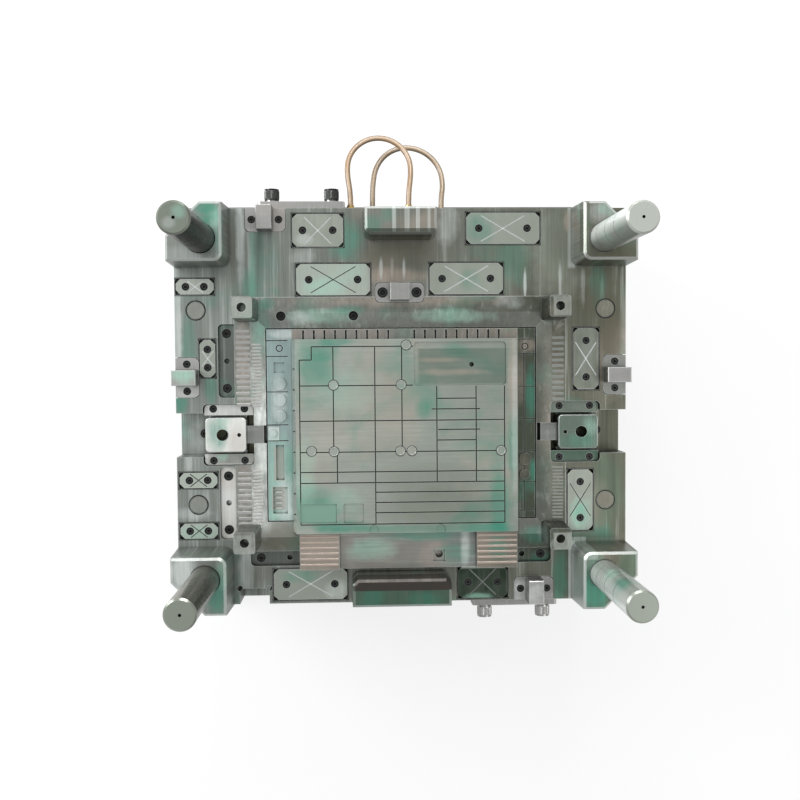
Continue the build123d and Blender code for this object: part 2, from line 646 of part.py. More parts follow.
def both_sides(shape):
    """A shape on the right and its mirror image on the left."""
    return [shape, mirror(shape, about=Plane.YZ)]


def slide_pocket():
    """Pocket, channel and tongue slot of the right slide, open at the face."""
    half = SLIDE_POCKET_WIDTH / 2
    pocket = rounded(SLIDE_POCKET_X0, SLIDE_POCKET_X1, SLIDE_Y - half, SLIDE_Y + half,
                     SLIDE_FLOOR, FACE + OVERCUT, SLIDE_POCKET_CORNER)
    half = SLIDE_CHANNEL_WIDTH / 2
    channel = slab(SLIDE_POCKET_X1 - SLIDE_POCKET_CORNER, HALF_LENGTH + OVERCUT,
                   SLIDE_Y - half, SLIDE_Y + half, SLIDE_FLOOR, FACE + OVERCUT)
    tip = SLIDE_BACK_X - SLIDE_LENGTH - TONGUE_REACH - TONGUE_GAP
    half = TONGUE_WIDTH / 2 + SLIDE_PLAY
    low = FACE - TONGUE_DROP - TONGUE_HEIGHT - SLIDE_PLAY
    slot = slab(tip, SLIDE_POCKET_X0 + OVERCUT, SLIDE_Y - half, SLIDE_Y + half, low, FACE + OVERCUT)
    return [pocket, channel, slot]


def slide_body():
    """Right slide with shoulders, horn pin hole and a pocket for its tongue."""
    x0, x1 = SLIDE_BACK_X - SLIDE_LENGTH, SLIDE_BACK_X
    half = SLIDE_WIDTH / 2
    foot = half + SLIDE_SHOULDER
    body = rounded(x0, x1, SLIDE_Y - half, SLIDE_Y + half, SLIDE_BASE, SLIDE_TOP, SLIDE_CORNER)
    body = chamfer(body.edges().group_by(Axis.Z)[-1], EDGE_BREAK)
    body += slab(x0 + SLIDE_SHOULDER_INSET, x1 - SLIDE_SHOULDER_INSET, SLIDE_Y - foot, SLIDE_Y + foot,
                 SLIDE_BASE, SLIDE_BASE + SLIDE_SHOULDER_HEIGHT)
    horn = Cylinder(HORN_RADIUS, 4 * (SLIDE_TOP - SLIDE_BASE))
    body -= Pos(x1 - HORN_FROM_BACK, SLIDE_Y, SLIDE_TOP) * Rot(0, -HORN_ANGLE, 0) * horn
    low = SLIDE_BASE + HORN_RELIEF_DEPTH
    lean = (SLIDE_TOP - low) * tan(radians(HORN_ANGLE))
    body -= rod(x1 - HORN_FROM_BACK + lean, SLIDE_Y, SLIDE_BASE - OVERCUT, low, HORN_RELIEF_RADIUS)
    body -= rod(x1 - SLIDE_PORT_FROM_BACK, SLIDE_Y, SLIDE_TOP - SLIDE_PORT_DEPTH, SLIDE_TOP + OVERCUT,
                SLIDE_PORT_RADIUS)
    return body - slide_tongue()


def slide_tongue():
    """Right tongue, its root seated in the slide."""
    front = SLIDE_BACK_X - SLIDE_LENGTH
    half = TONGUE_WIDTH / 2
    top = FACE - TONGUE_DROP
    tongue = slab(front - TONGUE_REACH, front + TONGUE_ROOT, SLIDE_Y - half, SLIDE_Y + half,
                  top - TONGUE_HEIGHT, top)
    return tongue


def slide_gib(side):
    """Right gib whose lip holds the slide's shoulder down; side is +1 behind and -1 in front."""
    lip = SLIDE_WIDTH / 2 + GIB_LIP_GAP
    heel = SLIDE_WIDTH / 2 + SLIDE_SHOULDER + SLIDE_PLAY
    outer = lip + GIB_WIDTH
    shoulder = SLIDE_BASE + SLIDE_SHOULDER_HEIGHT + SLIDE_PLAY
    profile = Polyline((lip, GIB_TOP), (lip, shoulder), (heel, shoulder), (heel, SLIDE_FLOOR),
                       (outer, SLIDE_FLOOR), (outer, GIB_TOP), close=True)
    x0 = (SLIDE_POCKET_X0 + SLIDE_POCKET_X1 - GIB_LENGTH) / 2
    gib = extrude(Plane.YZ * make_face(profile), GIB_LENGTH)
    tall = gib.edges().filter_by(Axis.Z).sort_by(Axis.Y)[-2:]
    gib = fillet(tall, SLIDE_CORNER)
    if side < 0:
        gib = mirror(gib, about=Plane.XZ)
    gib = Pos(x0, SLIDE_Y, 0) * gib
    for x, y in gib_screw_places(side):
        gib -= seat_cut(x, y, GIB_SCREW_Z, M8, GIB_SCREW_LENGTH)
    return gib


def gib_screw_places(side):
    """Screw places of one right gib."""
    middle = (SLIDE_POCKET_X0 + SLIDE_POCKET_X1) / 2
    across = SLIDE_WIDTH / 2 + GIB_LIP_GAP + GIB_WIDTH / 2 + GIB_SCREW_SHIFT
    return pitch_pair(middle, SLIDE_Y + side * across, GIB_PITCH, True)


def all_gib_screw_places():
    """Screw places of the four gibs."""
    right = gib_screw_places(1) + gib_screw_places(-1)
    return right + [(-x, y) for x, y in right]


def slide_wear_plate():
    """Hardened plate under the right slide."""
    half = SLIDE_WIDTH / 2 + SLIDE_SHOULDER
    return slab(SLIDE_POCKET_X0 + WEAR_PLATE_INSET, SLIDE_BACK_X, SLIDE_Y - half, SLIDE_Y + half,
                SLIDE_FLOOR, SLIDE_BASE)


def stop_bolt_x():
    """Centre of the stop bolt behind the right slide."""
    return SLIDE_BACK_X + SLIDE_PLAY + M10[1]


def core_plate():
    """Core plate with towers, taper blocks and every pocket of the face, walls and underside."""
    plate = slab(-HALF_LENGTH, HALF_LENGTH, -HALF_WIDTH, HALF_WIDTH, CORE_PLATE_BASE, FACE)
    plate = chamfer(plate.edges().group_by(Axis.Z)[0], PLATE_CHAMFER)
    plate += [tower(x, y) for x, y in corners(HALF_LENGTH, HALF_WIDTH)]
    plate += taper_block(REAR_TAPER_X, REAR_TAPER_LENGTH, 1)
    plate += taper_block(FRONT_TAPER_X, FRONT_TAPER_LENGTH, -1)
    return plate - face_pockets() - face_holes() - wall_holes() - underside_holes()


def face_pockets():
    """Pockets of the face: frame, strips, pads, locks, slides and the empty lock seat."""
    top = slab(FRAME_X0, FRAME_X1, FRAME_Y0, FRAME_Y1, FACE, FACE + OVERCUT)
    cuts = [frame_outline(0), top]
    for span in (WEDGE_UPPER_Y, WEDGE_LOWER_Y):
        strip = wedge_strip(span, SEAT)
        cuts += [strip, Pos(0, 0, WEDGE_DROP + OVERCUT) * strip]
    bar = retaining_bar(SEAT)
    cuts += [bar, Pos(0, 0, WEDGE_DROP + OVERCUT) * bar]
    cuts.append(slab(RAMP_X0 - SEAT, RAMP_X1 + SEAT, RAMP_Y0 - SEAT, FRAME_Y0,
                     FACE - RAMP_SEAT_DROP, FACE + OVERCUT))
    for x, y, size, _, _, _ in wear_pads():
        half_x, half_y = size[0] / 2 + PAD_GAP, size[1] / 2 + PAD_GAP
        cuts.append(rounded(x - half_x, x + half_x, y - half_y, y + half_y, FACE - PAD_DEPTH, FACE + OVERCUT,
                            PAD_POCKET_CORNER))
    cuts += [place * Pos(0, 0, -LOCK_THICK) * extrude(lock_outline(LOCK_GAP), LOCK_THICK + OVERCUT)
             for place in edge_locks()]
    cuts.append(mid_lock_pocket())
    for tool in slide_pocket():
        cuts += both_sides(tool)
    floor = FACE - SEAT_DEPTH
    cuts.append(slab(SEAT_X0, SEAT_X1, -HALF_WIDTH - OVERCUT, SEAT_Y, floor, FACE + OVERCUT))
    cuts += [rod(x, SEAT_Y, floor, FACE + OVERCUT, SEAT_RELIEF_RADIUS) for x in (SEAT_X0, SEAT_X1)]
    return cuts


def mid_lock_pocket():
    """Pocket of the centre lock."""
    half_x, half_y = MID_LOCK_LENGTH / 2 + LOCK_GAP, MID_LOCK_WIDTH / 2 + LOCK_GAP
    return rounded(MID_LOCK_X - half_x, MID_LOCK_X + half_x, MID_LOCK_Y - half_y, MID_LOCK_Y + half_y,
                   FACE - LOCK_THICK, FACE + OVERCUT, LOCK_CORNER)


def face_holes():
    """Pillar bores, pin bores and screw holes that open on the face."""
    cuts = []
    for x, y in corners(PILLAR_X, PILLAR_Y):
        cuts += [rod(x, y, CORE_PLATE_BASE - OVERCUT, FACE + OVERCUT, PILLAR_RADIUS),
                 rod(x, y, FACE, FACE + TOWER_HEIGHT + OVERCUT, PILLAR_RADIUS + TOWER_BORE_GAP)]
    cuts += [rod(x, y, CORE_PLATE_BASE - OVERCUT, FACE + OVERCUT, RETURN_PIN_RADIUS + RUNNING)
             for x, y in corners(RETURN_PIN_X, RETURN_PIN_Y)]
    cuts += [rod(x, y, CORE_PLATE_BASE - OVERCUT, POCKET_BASE + OVERCUT, EJECTOR_PIN_RADIUS + LOOSE)
             for x, y in EJECTOR_PIN_PLACES]
    for place, size, z, length in screw_places():
        cuts += [screw_hole(x, y, z, size, length) for x, y in place]
    return cuts


def screw_places():
    """Every screw that enters the core plate from above: places, size, head height, length."""
    pad_places = []
    for x, y, _, pitch, along_x, _ in wear_pads():
        pad_places += pitch_pair(x, y, pitch, along_x)
    stops = [(stop_bolt_x(), SLIDE_Y), (-stop_bolt_x(), SLIDE_Y)]
    mid_places = pitch_pair(MID_LOCK_X, MID_LOCK_Y, MID_LOCK_PITCH, True)
    frame_places = [(x, FRAME_SCREW_Y) for x in FRAME_SCREW_X]
    return [(pad_places, M8, PAD_SCREW_Z, PAD_SCREW_LENGTH),
            (lock_screw_places(), M8, LOCK_SCREW_Z, LOCK_SCREW_LENGTH),
            (all_gib_screw_places(), M8, GIB_SCREW_Z, GIB_SCREW_LENGTH),
            (stops, M10, SLIDE_FLOOR, LOCK_SCREW_LENGTH),
            (mid_places, M12, MID_LOCK_SCREW_Z, LOCK_SCREW_LENGTH),
            (strip_screw_places(), M10, STRIP_SCREW_Z, STRIP_SCREW_LENGTH),
            (frame_places, M10, FRAME_SCREW_Z, FRAME_SCREW_LENGTH)]


def strap_bolt_places(x):
    """Places of one strap's two bolts along X."""
    return (x - STRAP_PITCH / 2, x + STRAP_PITCH / 2)


STRAP_Z = FACE - STRAP_DROP - STRAP_HEIGHT / 2


def wall_holes():
    """Lifting holes, strap bolt holes and cooling ports in the two long walls."""
    cuts = []
    for side, strap_x, pitch, shift in ((1, REAR_STRAP_X, REAR_LIFTING_PITCH, 0.0),
                                        (-1, FRONT_STRAP_X, FRONT_LIFTING_PITCH, FRONT_PORT_SHIFT)):
        wall = side * HALF_WIDTH
        for x in (-pitch / 2, pitch / 2):
            cuts.append(bar_y(x, LIFTING_Z, wall + side, wall - side * LIFTING_DEPTH, LIFTING_RADIUS))
        for x in strap_bolt_places(strap_x):
            depth = STRAP_SCREW_LENGTH - STRAP_THICK
            cuts.append(bar_y(x, STRAP_Z, wall + side, wall - side * depth, STRAP_BOLT[0] + SCREW_GAP))
        for x in UPPER_PORTS_X:
            cuts.append(bar_y(x, UPPER_PORT_Z, wall + side, wall - side * PORT_DEPTH, PORT_RADIUS))
        for x in LOWER_PORTS_X:
            cuts.append(bar_y(x + shift, LOWER_PORT_Z, wall + side, wall - side * PORT_DEPTH, PORT_RADIUS))
    return cuts


SPACER_Y = HALF_WIDTH - SPACER_WIDTH / 2
CLAMP_BOLT_SEAT = M20[2] + BOLT_SINK


def clamp_bolt_places():
    """Places of the long bolts that hold clamp plate, spacers and core plate together."""
    return [(x, side * SPACER_Y) for x in CLAMP_BOLT_X for side in (-1, 1)]


def underside_holes():
    """Pillar head seats, spring pockets, bolt holes and guide pin seats in the underside."""
    low = CORE_PLATE_BASE - OVERCUT
    cuts = [rod(x, y, low, CORE_PLATE_BASE + PILLAR_HEAD_HEIGHT, PILLAR_HEAD_RADIUS)
            for x, y in corners(PILLAR_X, PILLAR_Y)]
    cuts += [rod(x, y, low, CORE_PLATE_BASE + SPRING_POCKET_DEPTH, SPRING_RADIUS + SPRING_GAP)
             for x, y in corners(RETURN_PIN_X, RETURN_PIN_Y)]
    cuts += [rod(x, y, low, CORE_PLATE_BASE + CLAMP_BOLT_REACH + OVERCUT, M20[0] + SCREW_GAP)
             for x, y in clamp_bolt_places()]
    cuts += [rod(x, y, low, CORE_PLATE_BASE + GUIDE_PIN_SEAT, GUIDE_PIN_RADIUS)
             for x, y in corners(GUIDE_PIN_X, GUIDE_PIN_Y)]
    return cuts


def guide_pillar(x, y):
    """Turned guide pillar with a head below, oil grooves, a cut tip and a centre hole."""
    tip = FACE + PILLAR_REACH
    profile = Polyline((0, CORE_PLATE_BASE), (PILLAR_HEAD_RADIUS, CORE_PLATE_BASE),
                       (PILLAR_HEAD_RADIUS, CORE_PLATE_BASE + PILLAR_HEAD_HEIGHT),
                       (PILLAR_RADIUS, CORE_PLATE_BASE + PILLAR_HEAD_HEIGHT),
                       (PILLAR_RADIUS, tip - PILLAR_CHAMFER), (PILLAR_RADIUS - PILLAR_CHAMFER, tip),
                       (PILLAR_CENTRE_RADIUS, tip), (PILLAR_CENTRE_RADIUS, tip - PILLAR_CENTRE_DEPTH),
                       (0, tip - PILLAR_CENTRE_DEPTH - PILLAR_CENTRE_CONE), close=True)
    section = make_face(profile)
    for i in range(OIL_GROOVES):
        groove = Rectangle(2 * OIL_GROOVE_DEPTH, OIL_GROOVE_WIDTH)
        section -= Pos(PILLAR_RADIUS, tip - OIL_GROOVE_FIRST - i * OIL_GROOVE_PITCH) * groove
    return Pos(x, y, 0) * revolve(Plane.XZ * section, Axis.Z)


def corner_post(x, y):
    """Tapered post at one corner of the core frame, with a tapped hole in its top."""
    sx, sy = (1 if x > 0 else -1), (1 if y > 0 else -1)
    edge_x = (FRAME_X1 if x > 0 else FRAME_X0) - sx * POST_OUTER_INSET
    inset_y = POST_OUTER_INSET if y > 0 else FRONT_POST_INSET
    edge_y = (FRAME_Y1 if y > 0 else FRAME_Y0) - sy * inset_y
    centre = Pos(edge_x - sx * POST_TOP / 2, edge_y - sy * POST_TOP / 2, 0)
    foot = POST_TOP + POST_DRAFT
    low = Pos(edge_x - sx * foot / 2, edge_y - sy * foot / 2, FACE - SLOPE_DEPTH)
    high = centre * Pos(0, 0, FACE + POST_HEIGHT)
    post = loft([low * RectangleRounded(foot, foot, POST_CORNER),
                 high * RectangleRounded(POST_TOP, POST_TOP, POST_TOP_CORNER)])
    return post, high * rod(0, 0, -POST_HOLE_DEPTH, OVERCUT, POST_HOLE_RADIUS)


def frame_slope():
    """Wedge shaped space that slopes the frame's top down to the core."""
    length, width = SIDE_X1 - SIDE_X0, SIDE_Y1 - SIDE_Y0
    centre = Pos((SIDE_X0 + SIDE_X1) / 2, (SIDE_Y0 + SIDE_Y1) / 2, FACE)
    bottom = centre * Pos(0, 0, -SLOPE_DEPTH) * Rectangle(length, width)
    top = centre * Rectangle(length + 2 * SLOPE_LAND, width + 2 * SLOPE_LAND)
    return loft([bottom, top])


def core_frame():
    """Ring round the core: sloped top, four posts, slide pockets and seats for ramps and inserts."""
    frame = frame_outline(0)
    frame -= frame_slope()
    frame -= slab(SIDE_X0, SIDE_X1, SIDE_Y0, SIDE_Y1, POCKET_BASE, FACE)
    frame -= slab(SIDE_X0 - INSERT_GROOVE, SIDE_X1 + INSERT_GROOVE, SIDE_Y0 - INSERT_GROOVE,
                  SIDE_Y1 + INSERT_GROOVE, SIDE_TOP - INSERT_GROOVE_DEPTH, FACE)
    frame -= slab(CORE_X0, CORE_X1, CORE_Y0, SIDE_Y0 + OVERCUT, POCKET_BASE, FACE)
    frame -= slab(RAMP_X0, RAMP_X1, FRAME_Y0 - OVERCUT, CORE_Y0, FACE - RAMP_SEAT_DROP, FACE + OVERCUT)
    for tool in slide_pocket():
        frame -= both_sides(tool)
    frame -= mid_lock_pocket()
    posts = [corner_post(x, y) for x, y in corners(1, 1)]
    frame += [post for post, _ in posts]
    frame -= [hole for _, hole in posts]
    for x in FRAME_SCREW_X:
        frame -= seat_cut(x, FRAME_SCREW_Y, FRAME_SCREW_Z, M10, FRAME_SCREW_LENGTH)
    return frame - [screw_hole(x, y, GIB_SCREW_Z, M8, GIB_SCREW_LENGTH) for x, y in all_gib_screw_places()]


def core_insert():
    """Core block with leaning flanks, a window, engraved lines and ejector pin bores."""
    profile = Polyline((CORE_X0, POCKET_BASE), (CORE_X1, POCKET_BASE), (CORE_X1, FACE),
                       (CORE_X1 - CORE_RIGHT_FLANK, CORE_TOP), (CORE_X0 + CORE_LEFT_FLANK, CORE_TOP),
                       (CORE_X0, FACE), close=True)
    core = Pos(0, CORE_Y1, 0) * extrude(Plane.XZ * make_face(profile), CORE_Y1 - CORE_Y0)
    cuts = [rounded(*WINDOW, CORE_TOP - WINDOW_DEPTH, CORE_TOP + OVERCUT, WINDOW_CORNER),
            rounded(*CORE_SQUARE, CORE_TOP - WINDOW_DEPTH, CORE_TOP + OVERCUT, CORE_SQUARE_CORNER),
            slab(*CORE_STEP, CORE_TOP - GROOVE_DEPTH, CORE_TOP + OVERCUT),
            rod(*WINDOW_HOLE, CORE_TOP - WINDOW_HOLE_DEPTH, CORE_TOP, WINDOW_HOLE_RADIUS)]
    for x in CORE_ARCH_X:
        reach = CORE_Y0 + CORE_ARCH_LENGTH - CORE_ARCH_RADIUS
        cuts.append(rod(x, reach, CORE_TOP - WINDOW_DEPTH, CORE_TOP + OVERCUT, CORE_ARCH_RADIUS))
        cuts.append(slab(x - CORE_ARCH_RADIUS, x + CORE_ARCH_RADIUS, CORE_Y0 - OVERCUT, reach,
                         CORE_TOP - WINDOW_DEPTH, CORE_TOP + OVERCUT))
    half = GROOVE / 2
    low, high = CORE_TOP - GROOVE_DEPTH, CORE_TOP + OVERCUT
    cuts += [slab(core_x(x) - half, core_x(x) + half, core_y(y0), core_y(y1), low, high)
             for x, y0, y1 in CORE_LINES_ALONG_Y]
    cuts += [slab(core_x(x0), core_x(x1), core_y(y) - half, core_y(y) + half, low, high)
             for y, x0, x1 in CORE_LINES_ALONG_X]
    cuts += [rod(x, y, POCKET_BASE - OVERCUT, CORE_TOP + OVERCUT, EJECTOR_PIN_RADIUS + RUNNING)
             for x, y in EJECTOR_PIN_PLACES]
    return core - cuts


SIDE_TOP = FACE - SIDE_DROP


def cross_line(x0, x1, y):
    """Engraved line across a side insert."""
    return slab(x0, x1, y - GROOVE / 2, y + GROOVE / 2, SIDE_TOP - GROOVE_DEPTH, SIDE_TOP + OVERCUT)


def left_side_insert():
    """Left side insert with its discs, block, slot and ribbed recess."""
    insert = slab(SIDE_X0, CORE_X0, SIDE_Y0, SIDE_Y1, POCKET_BASE, SIDE_TOP)
    cuts = [cross_line(SIDE_X0 - OVERCUT, CORE_X0 - LEFT_LINE_GAP, y) for y in LEFT_LINES_Y]
    cuts += [slab(*LEFT_SQUARE, SIDE_TOP - SIDE_RISE, SIDE_TOP + OVERCUT),
             slab(*LEFT_SLOT, SIDE_TOP - 2 * SIDE_RISE, SIDE_TOP + OVERCUT),
             slab(*LEFT_RECESS, SIDE_TOP - 2 * SIDE_RISE, SIDE_TOP + OVERCUT)]
    insert -= cuts
    x0, x1, y0, y1 = LEFT_RECESS
    pitch = (y1 - y0) / (LEFT_RIBS + 1)
    low = SIDE_TOP - 2 * SIDE_RISE
    half = LEFT_RIB_THICK / 2
    rib_places = [y0 + pitch * (i + 1) for i in range(LEFT_RIBS)]
    insert += [slab(x0 + LEFT_RIB_START, x1 - LEFT_RIB_END, y - half, y + half, low, low + SIDE_RISE)
               for y in rib_places]
    x, radius = LEFT_DISC
    insert += [rod(x, y, SIDE_TOP - OVERCUT, SIDE_TOP + SIDE_RISE, radius) for y in LEFT_DISCS_Y]
    insert += slab(*LEFT_BLOCK, SIDE_TOP - OVERCUT, SIDE_TOP + SIDE_RISE)
    x, y, radius = LEFT_BOSS
    insert += rod(x, y, SIDE_TOP, SIDE_TOP + 2 * SIDE_RISE, radius)
    x, y, radius = LEFT_RING
    return insert - (rod(x, y, SIDE_TOP - SIDE_RISE, SIDE_TOP + OVERCUT, radius)
                     - rod(x, y, SIDE_TOP - SIDE_RISE, SIDE_TOP + OVERCUT, radius - GROOVE))


def right_side_insert():
    """Right side insert with its lines, ring and two discs."""
    insert = slab(CORE_X1, SIDE_X1, SIDE_Y0, SIDE_Y1, POCKET_BASE, SIDE_TOP)
    cuts = [cross_line(CORE_X1 - OVERCUT, SIDE_X1 + OVERCUT, y) for y in RIGHT_LINES_Y]
    half = GROOVE / 2
    cuts.append(slab(RIGHT_LINE_X - half, RIGHT_LINE_X + half, RIGHT_LINES_Y[-1], RIGHT_LINES_Y[1],
                     SIDE_TOP - GROOVE_DEPTH, SIDE_TOP + OVERCUT))
    insert -= cuts
    insert += [rod(x, y, SIDE_TOP - OVERCUT, SIDE_TOP + SIDE_RISE, radius) for x, y, radius in RIGHT_DISCS]
    x, y, radius = RIGHT_RING
    return insert - (rod(x, y, SIDE_TOP - SIDE_RISE, SIDE_TOP + OVERCUT, radius)
                     - rod(x, y, SIDE_TOP - SIDE_RISE, SIDE_TOP + OVERCUT, radius - GROOVE))


def port_blade_row():
    """Comb of blades along the rear edge of the core."""
    top = FACE - BLADE_DROP
    row = slab(CORE_X0, CORE_X1, CORE_Y1, SIDE_Y1, POCKET_BASE, top)
    places = [BLADE_FIRST_X + BLADE_PITCH * i for i in range(BLADE_SLOTS_LEFT)]
    places += [BLADE_SECOND_X + BLADE_PITCH * i for i in range(BLADE_SLOTS_RIGHT)]
    half = BLADE_SLOT / 2
    floor = top - BLADE_SLOT_DEPTH
    return row - [slab(x - half, x + half, CORE_Y1 - OVERCUT, SIDE_Y1 - BLADE_WEB, floor, top + OVERCUT)
                  for x in places]


def ramp_block(x0, x1, rise):
    """Ramp block in front of the core, seated on the frame and the retaining bar."""
    return slab(x0, x1, RAMP_Y0, CORE_Y0, FACE - RAMP_SEAT_DROP, FACE + rise)


def ramp_centre():
    """Lower middle ramp block with a hole in a square recess."""
    block = ramp_block(RAMP_SPLIT_LEFT, RAMP_SPLIT_RIGHT, RAMP_CENTRE_RISE)
    top = FACE + RAMP_CENTRE_RISE
    half = RAMP_SQUARE / 2
    block -= slab(RAMP_HOLE_X - half, RAMP_HOLE_X + half, RAMP_HOLE_Y - half, RAMP_HOLE_Y + half,
                  top - RAMP_RECESS, top + OVERCUT)
    hole_y = RAMP_HOLE_Y + RAMP_HOLE_SHIFT
    return block - rod(RAMP_HOLE_X, hole_y, top - RAMP_HOLE_DEPTH, top, RAMP_HOLE_RADIUS)


def strip_with_screws(strip, places):
    """A strip with its counterbored screw holes."""
    for x, y in places:
        strip -= seat_cut(x, y, STRIP_SCREW_Z, M10, STRIP_SCREW_LENGTH)
    return strip


def wedge(span, places):
    """Wedge strip with two screws and a plain hole."""
    strip = strip_with_screws(wedge_strip(span, 0), places)
    top = FACE - WEDGE_DROP
    middle = (span[0] + span[1]) / 2
    hole_x = FRAME_X0 - WEDGE_WIDTH / 2
    return strip - rod(hole_x, middle, top - PLAIN_HOLE_DEPTH, top + OVERCUT, PLAIN_HOLE_RADIUS)


def bar_with_holes(places):
    """Retaining bar with two screws and two plain holes."""
    bar = strip_with_screws(retaining_bar(0), places)
    top = FACE - WEDGE_DROP
    middle = FRAME_Y0 - BAR_WIDTH / 2
    for x in (BAR_X0 + 4 * BAR_SCREW_INSET, BAR_X1 - 3 * BAR_SCREW_INSET):
        bar -= rod(x, middle, top - PLAIN_HOLE_DEPTH, top + OVERCUT, PLAIN_HOLE_RADIUS)
    return bar


def screw_group(selected):
    """All screws of one size from the list of screw places."""
    return [Pos(x, y, z) * screw(size, length)
            for places, size, z, length in selected for x, y in places]


def strap(x, side):
    """Transport strap on a long wall, with rounded ends and two bolt holes."""
    outline = RectangleRounded(STRAP_LENGTH, STRAP_HEIGHT, STRAP_CORNER)
    bar = extrude(Plane.XZ * outline, STRAP_THICK / 2, both=True)
    bar = Pos(x, side * (HALF_WIDTH + STRAP_THICK / 2), STRAP_Z) * bar
    wall = side * HALF_WIDTH
    for bolt_x in strap_bolt_places(x):
        bar -= bar_y(bolt_x, STRAP_Z, wall - side, wall + side * (STRAP_THICK + OVERCUT), STRAP_HOLE_RADIUS)
    return bar


def strap_bolts(x, side):
    """Two bolts of one strap with their lock washers."""
    turn = Rot(-90, 0, 0) if side > 0 else Rot(90, 0, 0)
    seat = side * (HALF_WIDTH + STRAP_THICK + WASHER_THICK)
    bolts = [Pos(bolt_x, seat, STRAP_Z) * turn * screw(STRAP_BOLT, STRAP_SCREW_LENGTH + WASHER_THICK)
             for bolt_x in strap_bolt_places(x)]
    return bolts


def strap_washers():
    """Lock washers under the four strap bolts."""
    rings = []
    for x, side in ((REAR_STRAP_X, 1), (FRONT_STRAP_X, -1)):
        inner, outer = side * (HALF_WIDTH + STRAP_THICK), side * (HALF_WIDTH + STRAP_THICK + WASHER_THICK)
        rings += [bar_y(bolt_x, STRAP_Z, inner, outer, WASHER_RADIUS)
                  - bar_y(bolt_x, STRAP_Z, inner, outer, STRAP_BOLT[0] + SCREW_GAP)
                  for bolt_x in strap_bolt_places(x)]
    return rings


def nipple(x, z):
    """Hose nipple screwed into a cooling port of the rear wall."""
    stem = bar_y(x, z, HALF_WIDTH - NIPPLE_THREAD_LENGTH, HALF_WIDTH, PORT_RADIUS - SCREW_GAP)
    hexagon = extrude(Plane.XZ * RegularPolygon(NIPPLE_FLATS / 2, 6, major_radius=False), -NIPPLE_HEX_LENGTH)
    collar = bar_y(x, z, HALF_WIDTH + NIPPLE_HEX_LENGTH, HOSE_START_Y, HOSE_RADIUS + NIPPLE_COLLAR_WALL)
    return stem + Pos(x, HALF_WIDTH, z) * hexagon + collar


def bend_radii(points):
    """Bend radius at each inner point: as large as its two runs allow."""
    vectors = [Vector(*b) - Vector(*a) for a, b in zip(points, points[1:])]
    radii = []
    for before, after in zip(vectors, vectors[1:]):
        half_turn = radians(before.get_angle(after)) / 2
        radii.append(HOSE_BEND_SHARE * min(before.length, after.length) / tan(half_turn))
    return radii


def hose(points):
    """Hose tube along straight runs joined by tangent arcs."""
    radii = bend_radii(points)
    print("hose bend radii", [round(r, 1) for r in radii])
    path = FilletPolyline(*points, radius=radii)
    tube = sweep(Plane(origin=points[0], z_dir=(0, 1, 0)) * Circle(HOSE_RADIUS), path=path)
    print("hose length", round(path.length, 1), "volume ratio",
          round(tube.volume / (path.length * Circle(HOSE_RADIUS).area), 4))
    return tube


def clamp_plate():
    """Clamp plate with the ejector rod hole, bolt counterbores and guide pin seats."""
    half_width = HALF_WIDTH + CLAMP_FLANGE
    plate = slab(-HALF_LENGTH, HALF_LENGTH, -half_width, half_width, 0, CLAMP_HEIGHT)
    plate = chamfer(plate.edges().filter_by(Axis.Z), PLATE_CHAMFER)
    cuts = [rod(0, 0, -OVERCUT, CLAMP_HEIGHT + OVERCUT, ROD_HOLE_RADIUS)]
    for x, y in clamp_bolt_places():
        cuts += [rod(x, y, -OVERCUT, M20[2] + BOLT_SINK, M20[1] + BOLT_GAP),
                 rod(x, y, 0, CLAMP_HEIGHT + OVERCUT, M20[0] + BOLT_GAP)]
    for x, y in corners(SUPPORT_X, SUPPORT_Y):
        cuts += [rod(x, y, -OVERCUT, M12[2] + BOLT_SINK, M12[1] + BOLT_GAP),
                 rod(x, y, 0, CLAMP_HEIGHT + OVERCUT, M12[0] + LOOSE)]
    cuts += [rod(x, y, CLAMP_HEIGHT - GUIDE_PIN_SEAT, CLAMP_HEIGHT + OVERCUT, GUIDE_PIN_RADIUS)
             for x, y in corners(GUIDE_PIN_X, GUIDE_PIN_Y)]
    return plate - cuts


def spacer(side):
    """Spacer block under one long edge."""
    block = slab(-HALF_LENGTH, HALF_LENGTH, HALF_WIDTH - SPACER_WIDTH, HALF_WIDTH,
                 SPACER_BASE, CORE_PLATE_BASE)
    block -= [rod(x, SPACER_Y, SPACER_BASE - OVERCUT, CORE_PLATE_BASE + OVERCUT, M20[0] + BOLT_GAP)
              for x in CLAMP_BOLT_X]
    return block if side > 0 else mirror(block, about=Plane.XZ)


def upturned(size, head_top, length, places):
    """Screws that enter from below, their heads up to a given height."""
    return [Pos(x, y, head_top) * Rot(180, 0, 0) * screw(size, length) for x, y in places]


EJECTOR_BASE = CLAMP_HEIGHT + STOP_BUTTON_HEIGHT
RETAINER_BASE = EJECTOR_BASE + EJECTOR_BASE_HEIGHT
RETAINER_TOP = RETAINER_BASE + RETAINER_HEIGHT


def ejector_plate(low, high):
    """Blank ejector plate with clearance for the support pillars."""
    half = EJECTOR_WIDTH / 2
    plate = slab(-HALF_LENGTH, HALF_LENGTH, -half, half, low, high)
    return plate - [rod(x, y, low - OVERCUT, high + OVERCUT, SUPPORT_RADIUS + SUPPORT_GAP)
                    for x, y in corners(SUPPORT_X, SUPPORT_Y)]


